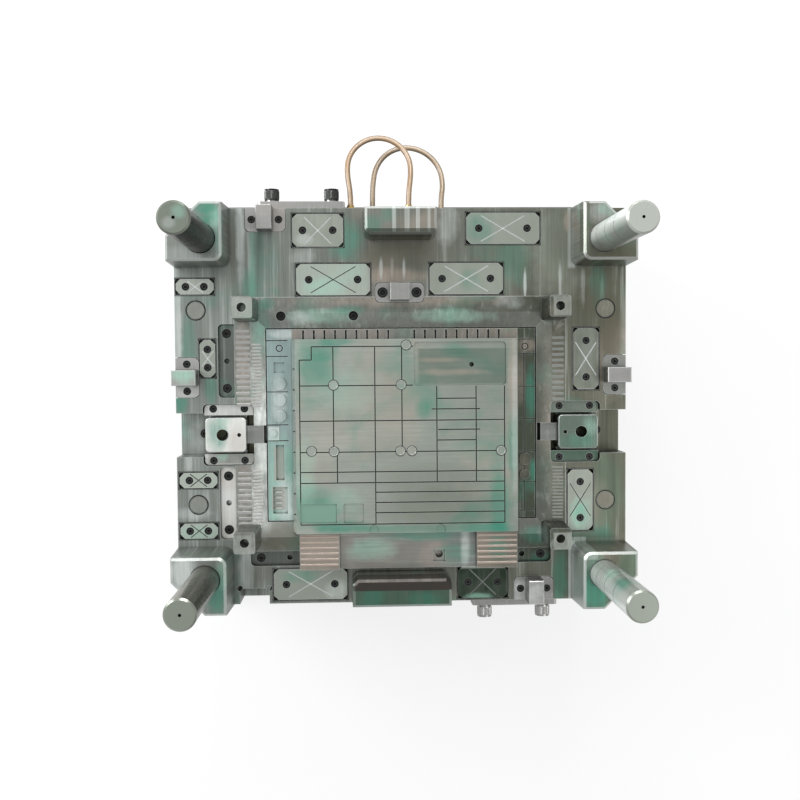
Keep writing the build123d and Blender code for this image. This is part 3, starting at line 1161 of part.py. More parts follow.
def ejector_retainer_plate():
    """Upper ejector plate that holds the pin heads and the guide bushes."""
    plate = ejector_plate(RETAINER_BASE, RETAINER_TOP)
    heads = [(x, y, RETURN_PIN_RADIUS) for x, y in corners(RETURN_PIN_X, RETURN_PIN_Y)]
    heads += [(x, y, EJECTOR_PIN_RADIUS) for x, y in EJECTOR_PIN_PLACES]
    cuts = []
    low = RETAINER_BASE - OVERCUT
    for x, y, radius in heads:
        cuts += [rod(x, y, low, RETAINER_TOP + OVERCUT, radius + LOOSE),
                 rod(x, y, low, RETAINER_BASE + PIN_HEAD_HEIGHT, radius + PIN_HEAD_STEP + LOOSE)]
    for x, y in corners(GUIDE_PIN_X, GUIDE_PIN_Y):
        cuts += [rod(x, y, low, RETAINER_TOP + OVERCUT, BUSH_RADIUS),
                 rod(x, y, low, RETAINER_BASE + BUSH_FLANGE_HEIGHT, BUSH_FLANGE_RADIUS)]
    cuts += [rod(x, y, low, RETAINER_BASE + EJECTOR_SCREW_HOLE, M12[0] + SCREW_GAP)
             for x, y in EJECTOR_SCREW_PLACES]
    return plate - cuts


def ejector_base_plate():
    """Lower ejector plate that backs the pin heads."""
    plate = ejector_plate(EJECTOR_BASE, RETAINER_BASE)
    cuts = [rod(x, y, EJECTOR_BASE - OVERCUT, RETAINER_BASE + OVERCUT, BUSH_RADIUS)
            for x, y in corners(GUIDE_PIN_X, GUIDE_PIN_Y)]
    for x, y in EJECTOR_SCREW_PLACES:
        cuts += [rod(x, y, EJECTOR_BASE - OVERCUT, EJECTOR_BASE + M12[2] + HEAD_DROP, M12[1] + BOLT_GAP),
                 rod(x, y, EJECTOR_BASE, RETAINER_BASE + OVERCUT, M12[0] + LOOSE)]
    return plate - cuts


def headed_pin(x, y, radius, top):
    """Pin with a flat head in the retainer plate."""
    step = radius + PIN_HEAD_STEP
    neck = RETAINER_BASE + PIN_HEAD_HEIGHT
    profile = Polyline((0, RETAINER_BASE), (step, RETAINER_BASE), (step, neck), (radius, neck), (radius, top),
                       (0, top), close=True)
    return Pos(x, y, 0) * revolve(Plane.XZ * make_face(profile), Axis.Z)


def return_spring(x, y):
    """Space that a return spring fills, from the retainer plate to its pocket in the core plate."""
    low, high = RETAINER_TOP, CORE_PLATE_BASE + SPRING_POCKET_DEPTH
    return rod(x, y, low, high, SPRING_RADIUS) - rod(x, y, low, high, SPRING_BORE)


def guide_bush(x, y):
    """Flanged bush that guides the ejector plates."""
    bore = GUIDE_PIN_RADIUS + RUNNING
    flange_top = RETAINER_BASE + BUSH_FLANGE_HEIGHT
    foot = EJECTOR_BASE + BUSH_INSET
    profile = Polyline((bore, foot), (BUSH_RADIUS, foot), (BUSH_RADIUS, RETAINER_BASE),
                       (BUSH_FLANGE_RADIUS, RETAINER_BASE), (BUSH_FLANGE_RADIUS, flange_top),
                       (BUSH_RADIUS, flange_top), (BUSH_RADIUS, RETAINER_TOP), (bore, RETAINER_TOP),
                       close=True)
    return Pos(x, y, 0) * revolve(Plane.XZ * make_face(profile), Axis.Z)


def support_pillar(x, y):
    """Round pillar under the core plate, tapped from below."""
    pillar = rod(x, y, CLAMP_HEIGHT, CORE_PLATE_BASE, SUPPORT_RADIUS)
    return pillar - rod(x, y, CLAMP_HEIGHT - OVERCUT, CLAMP_HEIGHT + SUPPORT_HOLE_DEPTH, M12[0] + SCREW_GAP)


def ejector_box():
    """Pieces between the clamp plate and the core plate."""
    guide_places = corners(GUIDE_PIN_X, GUIDE_PIN_Y)
    return_places = corners(RETURN_PIN_X, RETURN_PIN_Y)
    support_places = corners(SUPPORT_X, SUPPORT_Y)
    buttons = [(sx * x, sy * STOP_BUTTON_Y) for x in STOP_BUTTON_X for sx in (-1, 1) for sy in (-1, 1)]
    return {
        "ejector_retainer_plate": ejector_retainer_plate(),
        "ejector_base_plate": ejector_base_plate(),
        "return_pins": [headed_pin(x, y, RETURN_PIN_RADIUS, FACE) for x, y in return_places],
        "ejector_pins": [headed_pin(x, y, EJECTOR_PIN_RADIUS, CORE_TOP) for x, y in EJECTOR_PIN_PLACES],
        "return_springs": [return_spring(x, y) for x, y in return_places],
        "ejector_guide_bushes": [guide_bush(x, y) for x, y in guide_places],
        "ejector_guide_pins": [rod(x, y, CLAMP_HEIGHT - GUIDE_PIN_SEAT, CORE_PLATE_BASE + GUIDE_PIN_SEAT,
                                   GUIDE_PIN_RADIUS) for x, y in guide_places],
        "support_pillars": [support_pillar(x, y) for x, y in support_places],
        "stop_buttons": [rod(x, y, CLAMP_HEIGHT, EJECTOR_BASE, STOP_BUTTON_RADIUS) for x, y in buttons],
        "ejector_plate_screws": upturned(M12, EJECTOR_BASE + M12[2] + HEAD_DROP, EJECTOR_SCREW_LENGTH,
                                         EJECTOR_SCREW_PLACES),
        "support_screws": upturned(M12, M12[2] + BOLT_SINK, SUPPORT_SCREW_LENGTH, support_places),
    }


def slides():
    """Both slides with their tongues, gibs, wear plates, gib screws and stop bolts."""
    body, tongue = slide_body(), slide_tongue()
    gibs = both_sides(slide_gib(1)) + both_sides(slide_gib(-1))
    return {
        "right_slide": body,
        "left_slide": mirror(body, about=Plane.YZ),
        "right_slide_tongue": tongue,
        "left_slide_tongue": mirror(tongue, about=Plane.YZ),
        "slide_gibs": gibs,
        "slide_wear_plates": both_sides(slide_wear_plate()),
    }


def face_pieces():
    """Pads, locks, strips and all screws that are seen on the face."""
    pads, lock, screws = {}, edge_lock(), screw_places()
    for x, y, size, pitch, along_x, node in wear_pads():
        pads.setdefault(node, []).append(wear_pad(x, y, size, pitch, along_x))
    pad_screws, lock_screws, gib_screws, stops, mid_screws, strip_screws, frame_screws = screws
    strip_places = strip_screw_places()
    return {
        **pads,
        "edge_side_locks": [place * lock for place in edge_locks()],
        "centre_lock": mid_lock(),
        "upper_wedge_strip": wedge(WEDGE_UPPER_Y, strip_places[0:2]),
        "lower_wedge_strip": wedge(WEDGE_LOWER_Y, strip_places[2:4]),
        "retaining_bar": bar_with_holes(strip_places[4:6]),
        "wear_pad_screws": screw_group([pad_screws]),
        "side_lock_screws": screw_group([lock_screws]),
        "slide_gib_screws": screw_group([gib_screws]),
        "slide_stop_bolts": screw_group([stops]),
        "centre_lock_screws": screw_group([mid_screws]),
        "strip_screws": screw_group([strip_screws]),
        "core_frame_screws": screw_group([frame_screws]),
    }


def base_pieces():
    """Plates, blocks, pillars and inserts that carry the rest."""
    pieces = {
        "bottom_clamp_plate": clamp_plate(),
        "front_spacer_block": spacer(-1),
        "rear_spacer_block": spacer(1),
        "core_plate": core_plate(),
        "core_frame": core_frame(),
        "core_insert": core_insert(),
        "left_side_insert": left_side_insert(),
        "right_side_insert": right_side_insert(),
        "port_blade_row": port_blade_row(),
        "left_ramp_block": ramp_block(RAMP_X0, RAMP_SPLIT_LEFT, RAMP_RISE),
        "centre_ramp_block": ramp_centre(),
        "right_ramp_block": ramp_block(RAMP_SPLIT_RIGHT, RAMP_X1, RAMP_RISE),
        "clamp_bolts": upturned(M20, CLAMP_BOLT_SEAT, CORE_PLATE_BASE + CLAMP_BOLT_REACH - CLAMP_BOLT_SEAT,
                                clamp_bolt_places()),
    }
    for number, (x, y) in enumerate(corners(PILLAR_X, PILLAR_Y), start=1):
        pieces[f"guide_pillar_{number}"] = guide_pillar(x, y)
    return pieces


def wall_pieces():
    """Straps, bolts, nipples and hoses on the long walls."""
    nipples = [nipple(x, UPPER_PORT_Z) for x in UPPER_PORTS_X]
    nipples += [nipple(x, LOWER_PORT_Z) for x in LOWER_PORTS_X]
    return {
        "rear_transport_strap": strap(REAR_STRAP_X, 1),
        "front_transport_strap": strap(FRONT_STRAP_X, -1),
        "rear_strap_bolts": strap_bolts(REAR_STRAP_X, 1),
        "front_strap_bolts": strap_bolts(FRONT_STRAP_X, -1),
        "strap_washers": strap_washers(),
        "hose_nipples": nipples,
        "upper_cooling_hose": hose(UPPER_HOSE),
        "lower_cooling_hose": hose(LOWER_HOSE),
    }


def write(name, shape):
    """Write one node as a STEP file."""
    export_step(Compound(children=shape) if isinstance(shape, list) else shape, f"parts/{name}.step")


for group in (base_pieces(), face_pieces(), slides(), ejector_box(), wall_pieces()):
    for node, shape in group.items():
        write(node, shape)
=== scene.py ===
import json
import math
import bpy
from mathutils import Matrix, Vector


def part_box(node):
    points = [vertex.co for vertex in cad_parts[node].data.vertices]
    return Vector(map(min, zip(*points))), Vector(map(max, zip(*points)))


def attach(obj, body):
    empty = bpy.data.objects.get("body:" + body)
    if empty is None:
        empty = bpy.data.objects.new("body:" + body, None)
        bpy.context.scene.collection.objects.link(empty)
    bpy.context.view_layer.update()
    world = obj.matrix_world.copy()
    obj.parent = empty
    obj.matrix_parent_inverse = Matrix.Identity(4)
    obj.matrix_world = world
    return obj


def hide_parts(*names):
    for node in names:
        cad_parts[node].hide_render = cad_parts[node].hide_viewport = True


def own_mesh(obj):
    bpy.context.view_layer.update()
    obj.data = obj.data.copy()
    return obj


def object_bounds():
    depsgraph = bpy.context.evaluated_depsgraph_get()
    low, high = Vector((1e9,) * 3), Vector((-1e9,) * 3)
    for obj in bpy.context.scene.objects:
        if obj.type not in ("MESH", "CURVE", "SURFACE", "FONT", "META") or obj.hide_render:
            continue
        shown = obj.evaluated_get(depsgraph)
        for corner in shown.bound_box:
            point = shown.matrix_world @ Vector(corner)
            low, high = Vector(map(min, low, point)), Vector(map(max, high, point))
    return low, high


bl_info = {
    "name": "Mould base finishing",
    "version": (1, 1, 0),
    "blender": (4, 5, 0),
    "location": "View3D > Sidebar > Mould base",
    "description": "Steel finishes, springs, cooling hoses, milling marks and studio of the mould base",
    "category": "Object",
}

import bpy
from bpy.props import FloatProperty, FloatVectorProperty, IntProperty, PointerProperty
from mathutils import Euler, Vector

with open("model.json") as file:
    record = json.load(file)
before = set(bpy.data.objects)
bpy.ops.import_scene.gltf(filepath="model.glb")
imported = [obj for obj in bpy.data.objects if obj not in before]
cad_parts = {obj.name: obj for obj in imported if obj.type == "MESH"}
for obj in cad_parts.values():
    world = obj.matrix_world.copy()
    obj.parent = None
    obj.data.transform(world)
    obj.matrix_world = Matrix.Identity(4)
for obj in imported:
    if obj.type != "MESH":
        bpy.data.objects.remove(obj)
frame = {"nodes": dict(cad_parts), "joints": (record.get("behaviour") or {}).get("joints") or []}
CAD_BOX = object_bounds()

# The parting face's height, and the corners of the core insert
FACE = 0.345
CORE_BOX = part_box("core_insert")

# The origin, the way up, and two ways towards the light of the window
ORIGIN = (0.0, 0.0, 0.0)
UP = (0.0, 0.0, 1.0)
LEFT = (-1.0, 0.05, 0.0)
REAR_LEFT = (-0.95, 0.32, 0.0)

# The camera, fitted to the photograph, which is square
CAMERA_PLACE = (-0.0725, 0.0758, 2.045)
CAMERA_TURN = (-2.162, -2.285, -0.427)
CAMERA_LENS = 43.12
SENSOR = 36.0
PHOTO_SIDE = 800
FOCAL = CAMERA_LENS / SENSOR * PHOTO_SIDE
SPOT_DEPTH = 0.028
PANEL_DEPTH = 0.030
MILLIMETRE = 0.001


def seen_at(across, down, rise):
    """The point behind a pixel of the photograph, at a rise in millimetres over the parting face."""
    turn = Euler([math.radians(angle) for angle in CAMERA_TURN]).to_matrix()
    middle = PHOTO_SIDE / 2
    sight = turn @ Vector(((across - middle) / FOCAL, (middle - down) / FOCAL, -1.0))
    return Vector(CAMERA_PLACE) + sight * ((FACE + rise * MILLIMETRE - CAMERA_PLACE[2]) / sight.z)


def stain(kind, across, down, wide, high, rise, depth, strength, tone):
    """A stain round a pixel: half its width and height in pixels, and its half depth in metres."""
    centre = seen_at(across, down, rise)
    pixel = (CAMERA_PLACE[2] - centre.z) / FOCAL
    return kind, centre, (wide * pixel, high * pixel, depth), strength, tone


def spot(across, down, wide, high, rise, strength, tone):
    """A soft stain round a pixel of the photograph."""
    return stain("spot", across, down, wide, high, rise, SPOT_DEPTH, strength, tone)


def panel(across, down, wide, high, rise, strength, tone):
    """A stain with straight sides round a pixel of the photograph."""
    return stain("panel", across, down, wide, high, rise, PANEL_DEPTH, strength, tone)


# Places where an oil film or another film lies, and painted warm reflections, painted highlights
# in the bare steel colour and painted shadows: a pixel across and down, half sizes in pixels,
# millimetres over the parting face, strength and colour. A stain on a wall is given in metres.
PLATE_STAINS = [
    spot(240, 236, 5, 60, 0, 0.6, "bare_steel_and_highlight"),
    spot(257, 250, 9, 62, 0, 0.38, "green"),
    spot(252, 270, 4, 40, 0, 0.35, "mint"),
    spot(249, 288, 9, 22, 0, 0.5, "green"),
    spot(232, 250, 4, 40, 0, 0.5, "oil"),
    spot(271, 262, 10, 30, 0, 0.25, "green"),
    spot(189, 348, 9, 45, 0, 0.5, "green"),
    spot(179, 325, 3, 45, 0, 0.4, "bare_steel_and_highlight"),
    spot(181, 403, 9, 12, 0, 0.85, "green"),
    spot(211, 388, 8, 26, 0, 0.55, "green"),
    spot(188, 442, 22, 34, -30, 0.5, "bare_steel_and_highlight"),
    spot(181, 425, 9, 16, -30, 0.45, "green"),
    spot(346, 240, 20, 26, 0, 0.65, "green"),
    spot(303, 256, 14, 10, 0, 0.3, "bare_steel_and_highlight"),
    # Painted shadow below the rear taper, in the oil colour
    spot(398, 255, 48, 22, 0, 0.7, "oil"),
    spot(396, 276, 38, 10, 0, 0.55, "pink"),
    spot(381, 268, 2, 12, 0, 0.5, "bare_steel_and_highlight"),
    spot(404, 268, 2, 12, 0, 0.5, "bare_steel_and_highlight"),
    spot(392, 268, 2, 12, 0, 0.3, "bare_steel_and_highlight"),
    spot(447, 225, 14, 22, 0, 0.35, "bare_steel_and_highlight"),
    spot(513, 262, 22, 30, 0, 0.4, "green"),
    spot(525, 286, 1.8, 24, 0, 0.8, "bare_steel_and_highlight"),
    spot(556, 250, 34, 66, 0, 0.6, "grey_pad"),
    spot(560, 280, 2, 22, 0, 0.5, "bare_steel_and_highlight"),
    spot(583, 287, 2.5, 22, 0, 0.35, "bare_steel_and_highlight"),
    spot(602, 295, 3, 20, 0, 0.3, "mint"),
    spot(598, 284, 10, 26, 0, 0.35, "green"),
    spot(590, 300, 24, 20, 0, 0.5, "oil"),
    spot(622, 330, 2.5, 80, 0, 0.12, "bare_steel_and_highlight"),
    spot(176, 320, 7, 70, 0, 0.4, "bare_steel_and_highlight"),
    spot(610, 340, 14, 60, 0, 0.8, "oil"),
    spot(612, 500, 24, 70, 0, 0.35, "oil"),
    spot(603, 540, 14, 16, 0, 0.4, "green"),
    spot(560, 578, 9, 36, 0, 0.6, "green"),
    spot(188, 462, 5, 14, 0, 0.5, "bare_steel_and_highlight"),
    spot(206, 505, 6, 20, 0, 0.35, "bare_steel_and_highlight"),
    spot(192, 514, 20, 7, 0, 0.35, "bare_steel_and_highlight"),
    spot(246, 570, 9, 26, 0, 0.45, "bare_steel_and_highlight"),
    spot(262, 572, 16, 18, 0, 0.4, "oil"),
    spot(600, 400, 10, 14, -30, 0.4, "oil"),
    spot(212, 226, 17, 30, 88, 0.8, "green"),
    spot(216, 236, 10, 22, 88, 0.3, "bare_steel_and_highlight"),
    spot(220, 215, 14, 12, 88, 0.5, "mint"),
    spot(224, 250, 8, 14, 88, 0.55, "mint"),
    spot(182, 256, 22, 12, 88, 0.2, "bare_steel_and_highlight"),
    spot(205, 208, 14, 6, 88, 0.6, "green"),
    spot(600, 212, 28, 12, 88, 0.35, "bare_steel_and_highlight"),
    spot(608, 209, 12, 8, 88, 0.35, "mint"),
    spot(616, 252, 28, 14, 88, 0.75, "oil"),
    spot(182, 572, 18, 24, 88, 0.75, "bare_steel_and_highlight"),
    spot(216, 592, 14, 28, 88, 0.85, "green"),
    spot(224, 570, 10, 22, 88, 0.5, "mint"),
    spot(595, 590, 18, 34, 88, 1, "green"),
    spot(600, 568, 34, 12, 60, 0.5, "green"),
    spot(586, 575, 6, 30, 60, 0.4, "mint"),
    spot(594, 560, 14, 12, 88, 0.5, "mint"),
    spot(629, 563, 14, 24, 88, 0.4, "green"),
    spot(580, 532, 34, 16, 0, 0.4, "green"),
    spot(606, 490, 22, 60, 0, 0.18, "green"),
    spot(624, 564, 20, 24, 88, 0.6, "oil"),
    spot(373, 224, 12, 12, 68, 0.4, "green"),
    spot(388, 214, 10, 9, 68, 0.35, "green"),
    panel(394, 219, 2, 13, 68, 0.55, "bare_steel_and_highlight"),
    panel(407, 219, 2.5, 13, 68, 0.45, "bare_steel_and_highlight"),
    panel(418, 219, 2, 13, 68, 0.55, "bare_steel_and_highlight"),
    panel(429, 219, 1.6, 13, 68, 0.4, "bare_steel_and_highlight"),
    # Painted shade on the front taper, in the dark film colour
    panel(403, 600, 58, 24, 60, 0.95, "deep"),
    # Painted light on the tower walls that face the lamps, in metres
    ("panel", (0.302, 0.298, 0.389), (0.007, 0.056, 0.05), 0.45, "bare_steel_and_highlight"),
    ("panel", (0.345, -0.247, 0.389), (0.045, 0.007, 0.05), 0.35, "grey_pad"),
    ("panel", (0.312, -0.25, 0.389), (0.016, 0.012, 0.05), 0.5, "bare_steel_and_highlight"),
    spot(577, 226, 5, 14, 40, 0.5, "pink"),
    spot(579, 212, 4, 14, 60, 0.5, "mint"),
    spot(567, 222, 4, 12, 0, 0.6, "pink"),
    spot(577, 588, 5, 20, 40, 0.4, "mint"),
    spot(573, 600, 6, 14, 30, 0.5, "green"),
    spot(372, 598, 14, 14, 68, 0.4, "green"),
    spot(425, 600, 20, 10, 68, 0.4, "green"),
]
# The frame's films; the bare steel spots are painted highlights and the pink ones painted warm reflections
RING_STAINS = [
    spot(390, 300, 130, 8, -2, 0.45, "pink"),
    spot(325, 316, 42, 8, -6, 0.5, "mint"),
    spot(300, 318, 16, 8, -6, 0.45, "bare_steel_and_highlight"),
    spot(349, 310, 20, 6, -6, 0.5, "green"),
    spot(452, 316, 48, 8, -6, 0.5, "mint"),
    spot(470, 303, 30, 5, -2, 0.3, "oil"),
    spot(267, 303, 10, 8, -2, 0.5, "green"),
    spot(260, 322, 12, 22, -4, 0.5, "green"),
    spot(262, 340, 12, 22, -4, 0.4, "green"),
    spot(262, 440, 8, 64, -6, 0.4, "bare_steel_and_highlight"),
    spot(243, 400, 9, 130, -1, 0.45, "pink"),
    spot(281, 538, 38, 22, -6, 0.85, "oil"),
    spot(262, 520, 12, 20, -6, 0.35, "bare_steel_and_highlight"),
    spot(546, 472, 14, 34, -6, 0.6, "deep"),
    spot(535, 535, 16, 12, -6, 0.6, "green"),
    spot(556, 420, 18, 110, 0, 0.3, "pink"),
    spot(510, 300, 16, 10, -2, 0.3, "bare_steel_and_highlight"),
    panel(243, 308, 10, 10, 37, 0.75, "pad"),
    panel(243, 543, 10, 10, 37, 0.6, "pad"),
    panel(561, 306, 10, 10, 37, 0.55, "pad"),
    panel(561, 540, 10, 10, 37, 0.65, "pad"),
    spot(545, 535, 8, 16, 20, 0.5, "bare_steel_and_highlight"),
    spot(535, 400, 12, 110, -8, 0.4, "oil"),
]
# The core insert's films; the bare steel spot is a painted highlight and the pink ones painted warm
# reflections
CORE_STAINS = [
    spot(317, 366, 21, 28, 30, 0.6, "green"),
    spot(325, 352, 16, 12, 30, 0.4, "green"),
    spot(334, 341, 26, 6, 30, 0.6, "green"),
    spot(350, 392, 40, 26, 30, 0.25, "mint"),
    spot(424, 408, 10, 13, 30, 0.8, "green"),
    spot(405, 395, 16, 14, 30, 0.35, "green"),
    spot(455, 350, 16, 10, 20, 0.5, "green"),
    panel(462, 366, 45, 18, 20, 0.55, "deep"),
    spot(450, 372, 40, 4, 20, 0.5, "pink"),
    spot(440, 360, 30, 3, 20, 0.4, "pink"),
    spot(312, 508, 32, 24, 30, 0.8, "green"),
    spot(344, 527, 36, 8, 30, 0.75, "green"),
    spot(304, 480, 14, 44, 30, 0.4, "mint"),
    spot(395, 529, 70, 5, 30, 0.6, "green"),
    spot(500, 508, 12, 46, 30, 0.85, "green"),
    spot(484, 528, 30, 7, 30, 0.8, "green"),
    spot(480, 450, 26, 14, 30, 0.3, "green"),
    spot(513, 380, 6, 60, 30, 0.5, "pink"),
    spot(513, 450, 6, 50, 30, 0.5, "green"),
    spot(515, 420, 4, 100, 30, 0.3, "bare_steel_and_highlight"),
    spot(385, 404, 46, 34, 30, 0.35, "pink"),
    spot(330, 432, 22, 30, 30, 0.25, "pink"),
    spot(476, 458, 24, 14, 30, 0.3, "pink"),
    spot(440, 508, 70, 26, 30, 0.45, "oil"),
    spot(430, 480, 70, 20, 30, 0.25, "oil"),
    spot(345, 500, 20, 14, 30, 0.3, "mint"),
]
# The left insert's films; the bare steel spots are painted highlights and the pink panels painted warm
# reflections
LEFT_STAINS = [
    spot(284, 334, 20, 6, -8, 0.8, "bare_steel_and_highlight"),
    spot(279, 400, 9, 30, -8, 0.55, "bare_steel_and_highlight"),
    panel(274.5, 434, 6, 7, -8, 0.7, "bare_steel_and_highlight"),
    spot(291, 480, 7, 36, -8, 0.7, "green"),
    spot(296, 400, 5, 60, -8, 0.4, "mint"),
    spot(279, 515, 16, 8, -8, 0.5, "mint"),
    spot(279, 480, 20, 60, -8, 0.5, "mint"),
    spot(285, 500, 12, 34, -8, 0.8, "bare_steel_and_highlight"),
    panel(279, 464, 5, 17, -12, 0.6, "pink"),
    panel(279, 498, 7, 12, -14, 0.5, "pink"),
]
# The right insert's films; the pink spots are painted warm reflections
RIGHT_STAINS = [
    spot(527, 345, 12, 9, -8, 0.35, "pink"),
    spot(531, 392, 7, 30, -8, 0.7, "green"),
    spot(521, 380, 6, 30, -8, 0.35, "pink"),
    spot(524, 466, 8, 16, -8, 0.2, "pink"),
    spot(533, 470, 5, 14, -8, 0.6, "green"),
]
# The centre ramp's films; the bare steel spot is a painted highlight
CENTRE_RAMP_STAINS = [
    spot(372, 550, 30, 12, 14, 0.55, "mint"),
    spot(425, 535, 50, 8, 14, 0.6, "green"),
    spot(455, 552, 22, 14, 14, 0.5, "green"),
    spot(465, 545, 6, 24, 14, 0.5, "bare_steel_and_highlight"),
]
# The side ramps' films; the pink spot is a painted warm reflection
SIDE_RAMP_STAINS = [
    spot(498, 548, 12, 16, 24, 0.5, "green"),
    spot(320, 552, 30, 22, 24, 0.4, "pink"),
    spot(490, 560, 24, 16, 24, 0.3, "oil"),
]
# The pads' tones and films; the bare steel spots are painted highlights
PAD_STAINS = [
    panel(317, 229, 27, 18, 0, 0.9, "grey_pad"),
    panel(332, 279, 37, 16, 0, 0.9, "pale_pad"),
    panel(466, 278, 38, 16, 0, 0.9, "grey_pad"),
    panel(503, 228, 38, 17, 0, 0.8, "grey_pad"),
    panel(311, 584, 38, 16, 0, 0.9, "grey_pad"),
    panel(482, 583, 26, 15, 0, 1, "dark_pad"),
    panel(586, 358, 14, 32, 0, 0.9, "dull_pad"),
    panel(582, 500, 14, 32, 0, 0.8, "grey_pad"),
    panel(199, 506, 22, 36, 0, 0.9, "pale_pad"),
    panel(206, 358, 10, 20, 0, 0.8, "grey_pad"),
    spot(324, 288, 24, 14, 0, 0.6, "mint"),
    spot(350, 272, 16, 12, 0, 0.3, "mint"),
    spot(478, 228, 18, 18, 0, 0.45, "green"),
    spot(470, 280, 12, 14, 0, 0.3, "green"),
    spot(304, 240, 10, 8, 0, 0.4, "bare_steel_and_highlight"),
    spot(300, 576, 24, 8, 0, 0.5, "green"),
    spot(336, 590, 14, 12, 0, 0.4, "bare_steel_and_highlight"),
    spot(478, 596, 16, 6, 0, 0.4, "mint"),
    spot(581, 515, 12, 22, 0, 0.6, "mint"),
    spot(581, 512, 8, 14, 0, 0.4, "green"),
    spot(199, 533, 22, 9, 0, 0.45, "mint"),
]
# The locks' films; the bare steel spots are painted highlights
LOCK_STAINS = [
    spot(184, 374, 16, 12, 32, 0.75, "mint"),
    spot(188, 392, 14, 10, 0, 0.4, "bare_steel_and_highlight"),
    panel(620, 372, 22, 24, 0, 0.45, "dull_pad"),
    spot(525, 592, 24, 16, 16, 0.5, "bare_steel_and_highlight"),
]
# The left slide's films; the pink spot is a painted warm reflection
LEFT_SLIDE_STAINS = [
    spot(217, 432, 12, 26, 0, 0.8, "green"),
    spot(224, 418, 10, 12, 0, 0.4, "mint"),
    spot(238, 442, 12, 18, 0, 0.4, "pink"),
]
RIGHT_SLIDE_STAINS = [
    spot(580, 440, 20, 10, 0, 0.35, "green"),
    spot(590, 425, 8, 12, 0, 0.3, "mint"),
]
GIB_STAINS = [
    panel(238, 457, 30, 7, 0, 0.75, "dull_pad"),
    panel(573, 457, 30, 7, 0, 0.7, "deep"),
    spot(222, 457, 8, 6, 0, 0.5, "mint"),
    panel(573, 407, 30, 7, 0, 0.4, "dull_pad"),
]
# Painted shade on the tapers and a tower's chamfer, and painted light on a tower's wall, laid over the
# plate's finish
LIGHT_AND_SHADE_STAINS = [
    panel(403, 600, 58, 24, 60, 0.3, "deep"),
    panel(586, 226, 4, 26, 88, 0.75, "dull_pad"),
    panel(404, 583.5, 52, 6.5, 62, 0.93, "brown_shade"),
    panel(401, 232, 35, 3.4, 62, 0.7, "dark_pad"),
    ("panel", (0.302, -0.298, 0.389), (0.006, 0.054, 0.048), 0.6, "bare_steel_and_highlight"),
    spot(575, 560, 6, 10, 60, 0.5, "bare_steel_and_highlight"),
]
CORE_LINES_STAINS = [
    panel(318, 512, 19, 12, 27, 0.55, "mint"),
]
DARK_PAD_STAINS = [
    panel(482, 583, 27, 16, 0, 0.72, "dark_pad"),
    spot(478, 597, 16, 5, 0, 0.4, "mint"),
]
# Pads whose cut lines get painted shade instead of a painted highlight
DARK_LINES_STAINS = [
    panel(332, 279, 37, 16, 0, 1, "line"),
    panel(582, 500, 14, 32, 0, 1, "line"),
    panel(199, 506, 22, 36, 0, 1, "line"),
]
# The top left pillar's tip; the bare steel spot is a painted highlight
TIP_STAINS = [
    spot(178, 211, 9, 9, 311, 0.45, "mint"),
    spot(168, 223, 8, 7, 311, 0.3, "bare_steel_and_highlight"),
]
# Films on the two right pillars, and painted shade in the dull pad colour on their far sides, in metres
PILLAR_3_STAINS = [
    ("spot", (0.321, -0.270, 0.590), (0.050, 0.050, 0.036), 1.0, "green"),
    ("spot", (0.322, -0.262, 0.525), (0.044, 0.044, 0.030), 0.6, "mint"),
    ("spot", (0.318, -0.290, 0.470), (0.030, 0.030, 0.060), 0.5, "dull_pad"),
    ("spot", (0.345, -0.262, 0.560), (0.016, 0.016, 0.120), 0.7, "dull_pad"),
]
PILLAR_4_STAINS = [
    ("spot", (0.330, 0.307, 0.600), (0.040, 0.040, 0.040), 0.85, "green"),
    ("spot", (0.326, 0.300, 0.520), (0.040, 0.040, 0.040), 0.6, "mint"),
    ("spot", (0.345, 0.262, 0.470), (0.034, 0.030, 0.080), 0.7, "dull_pad"),
]
# Dark rims round the wear pads' pockets and the pins, dirt and painted shade of the gaps, in metres
POCKET_GAP = 0.0014
PIN_HOLE_RADIUS = 0.0165
EJECTOR_PIN_RADIUS = 0.008
RIM_DEPTH = 0.003
DIRT_START = 0.0007
DIRT_END = 0.0021
WEAR_PADS = ("wear_pads_long", "wear_pads_short", "wear_pads_side", "wear_pads_small")
# Floors of cut lines, painted shade in the core and a painted highlight on the pads: how deep they
# lie at most and at least, their colour and its strength
CORE_LINES = (0.0030, 0.0015, "line", 0.9)
PAD_LINES = (0.0013, 0.0006, "highlight_and_wear", 0.9)
PAD_PROUD = 0.0005
# The foot of a wall, where shade is painted, in metres over the parting face, and a stain's usual reach
FOOT_START = 0.002
FOOT_END = 0.060
STAIN_REACH = (0.05, 0.05, 1.0)
# How far a wall's normal has to point along X before its streaks are turned
FACES_X = 0.7
# Ranges for remap: streaks wearing a stain, ragged dirt and painted shade on pocket rims, and the
# weaker painted highlight on slopes that point to the bright left
STAIN_WEAR = (0.1, 0.9, 0.55, 1.0)
DIRT_WEAR = (-0.12, 0.05, 0.75, 1.0)
SHY_LEFT = (-0.7, -0.1, 0.45, 1.0)
# The fine streaks' share, where the streaks' bright part starts and how strong it is; the bright part is
# partly a painted reflection
THIN_SHARE = 0.4
LIFT_START = 0.72
LIFT_SHARE = 0.45
# Painted warm reflections and film patches: size in metres, strength and colour
WARM_PATCH = (0.16, 0.40, "pink")
FILM_PATCH = (0.12, 0.5, "green")
WARM_SEED = 3.0
PATCH_RIM = 0.09
# How many grains wide the clouds of an even finish are, and how dark
CLOUD_SIZE = 9
CLOUD_SHADE = 0.75
# Height of the streaks and of the grain in the surface, in metres
STREAK_RELIEF = 0.0004
GRAIN_RELIEF = 0.0003


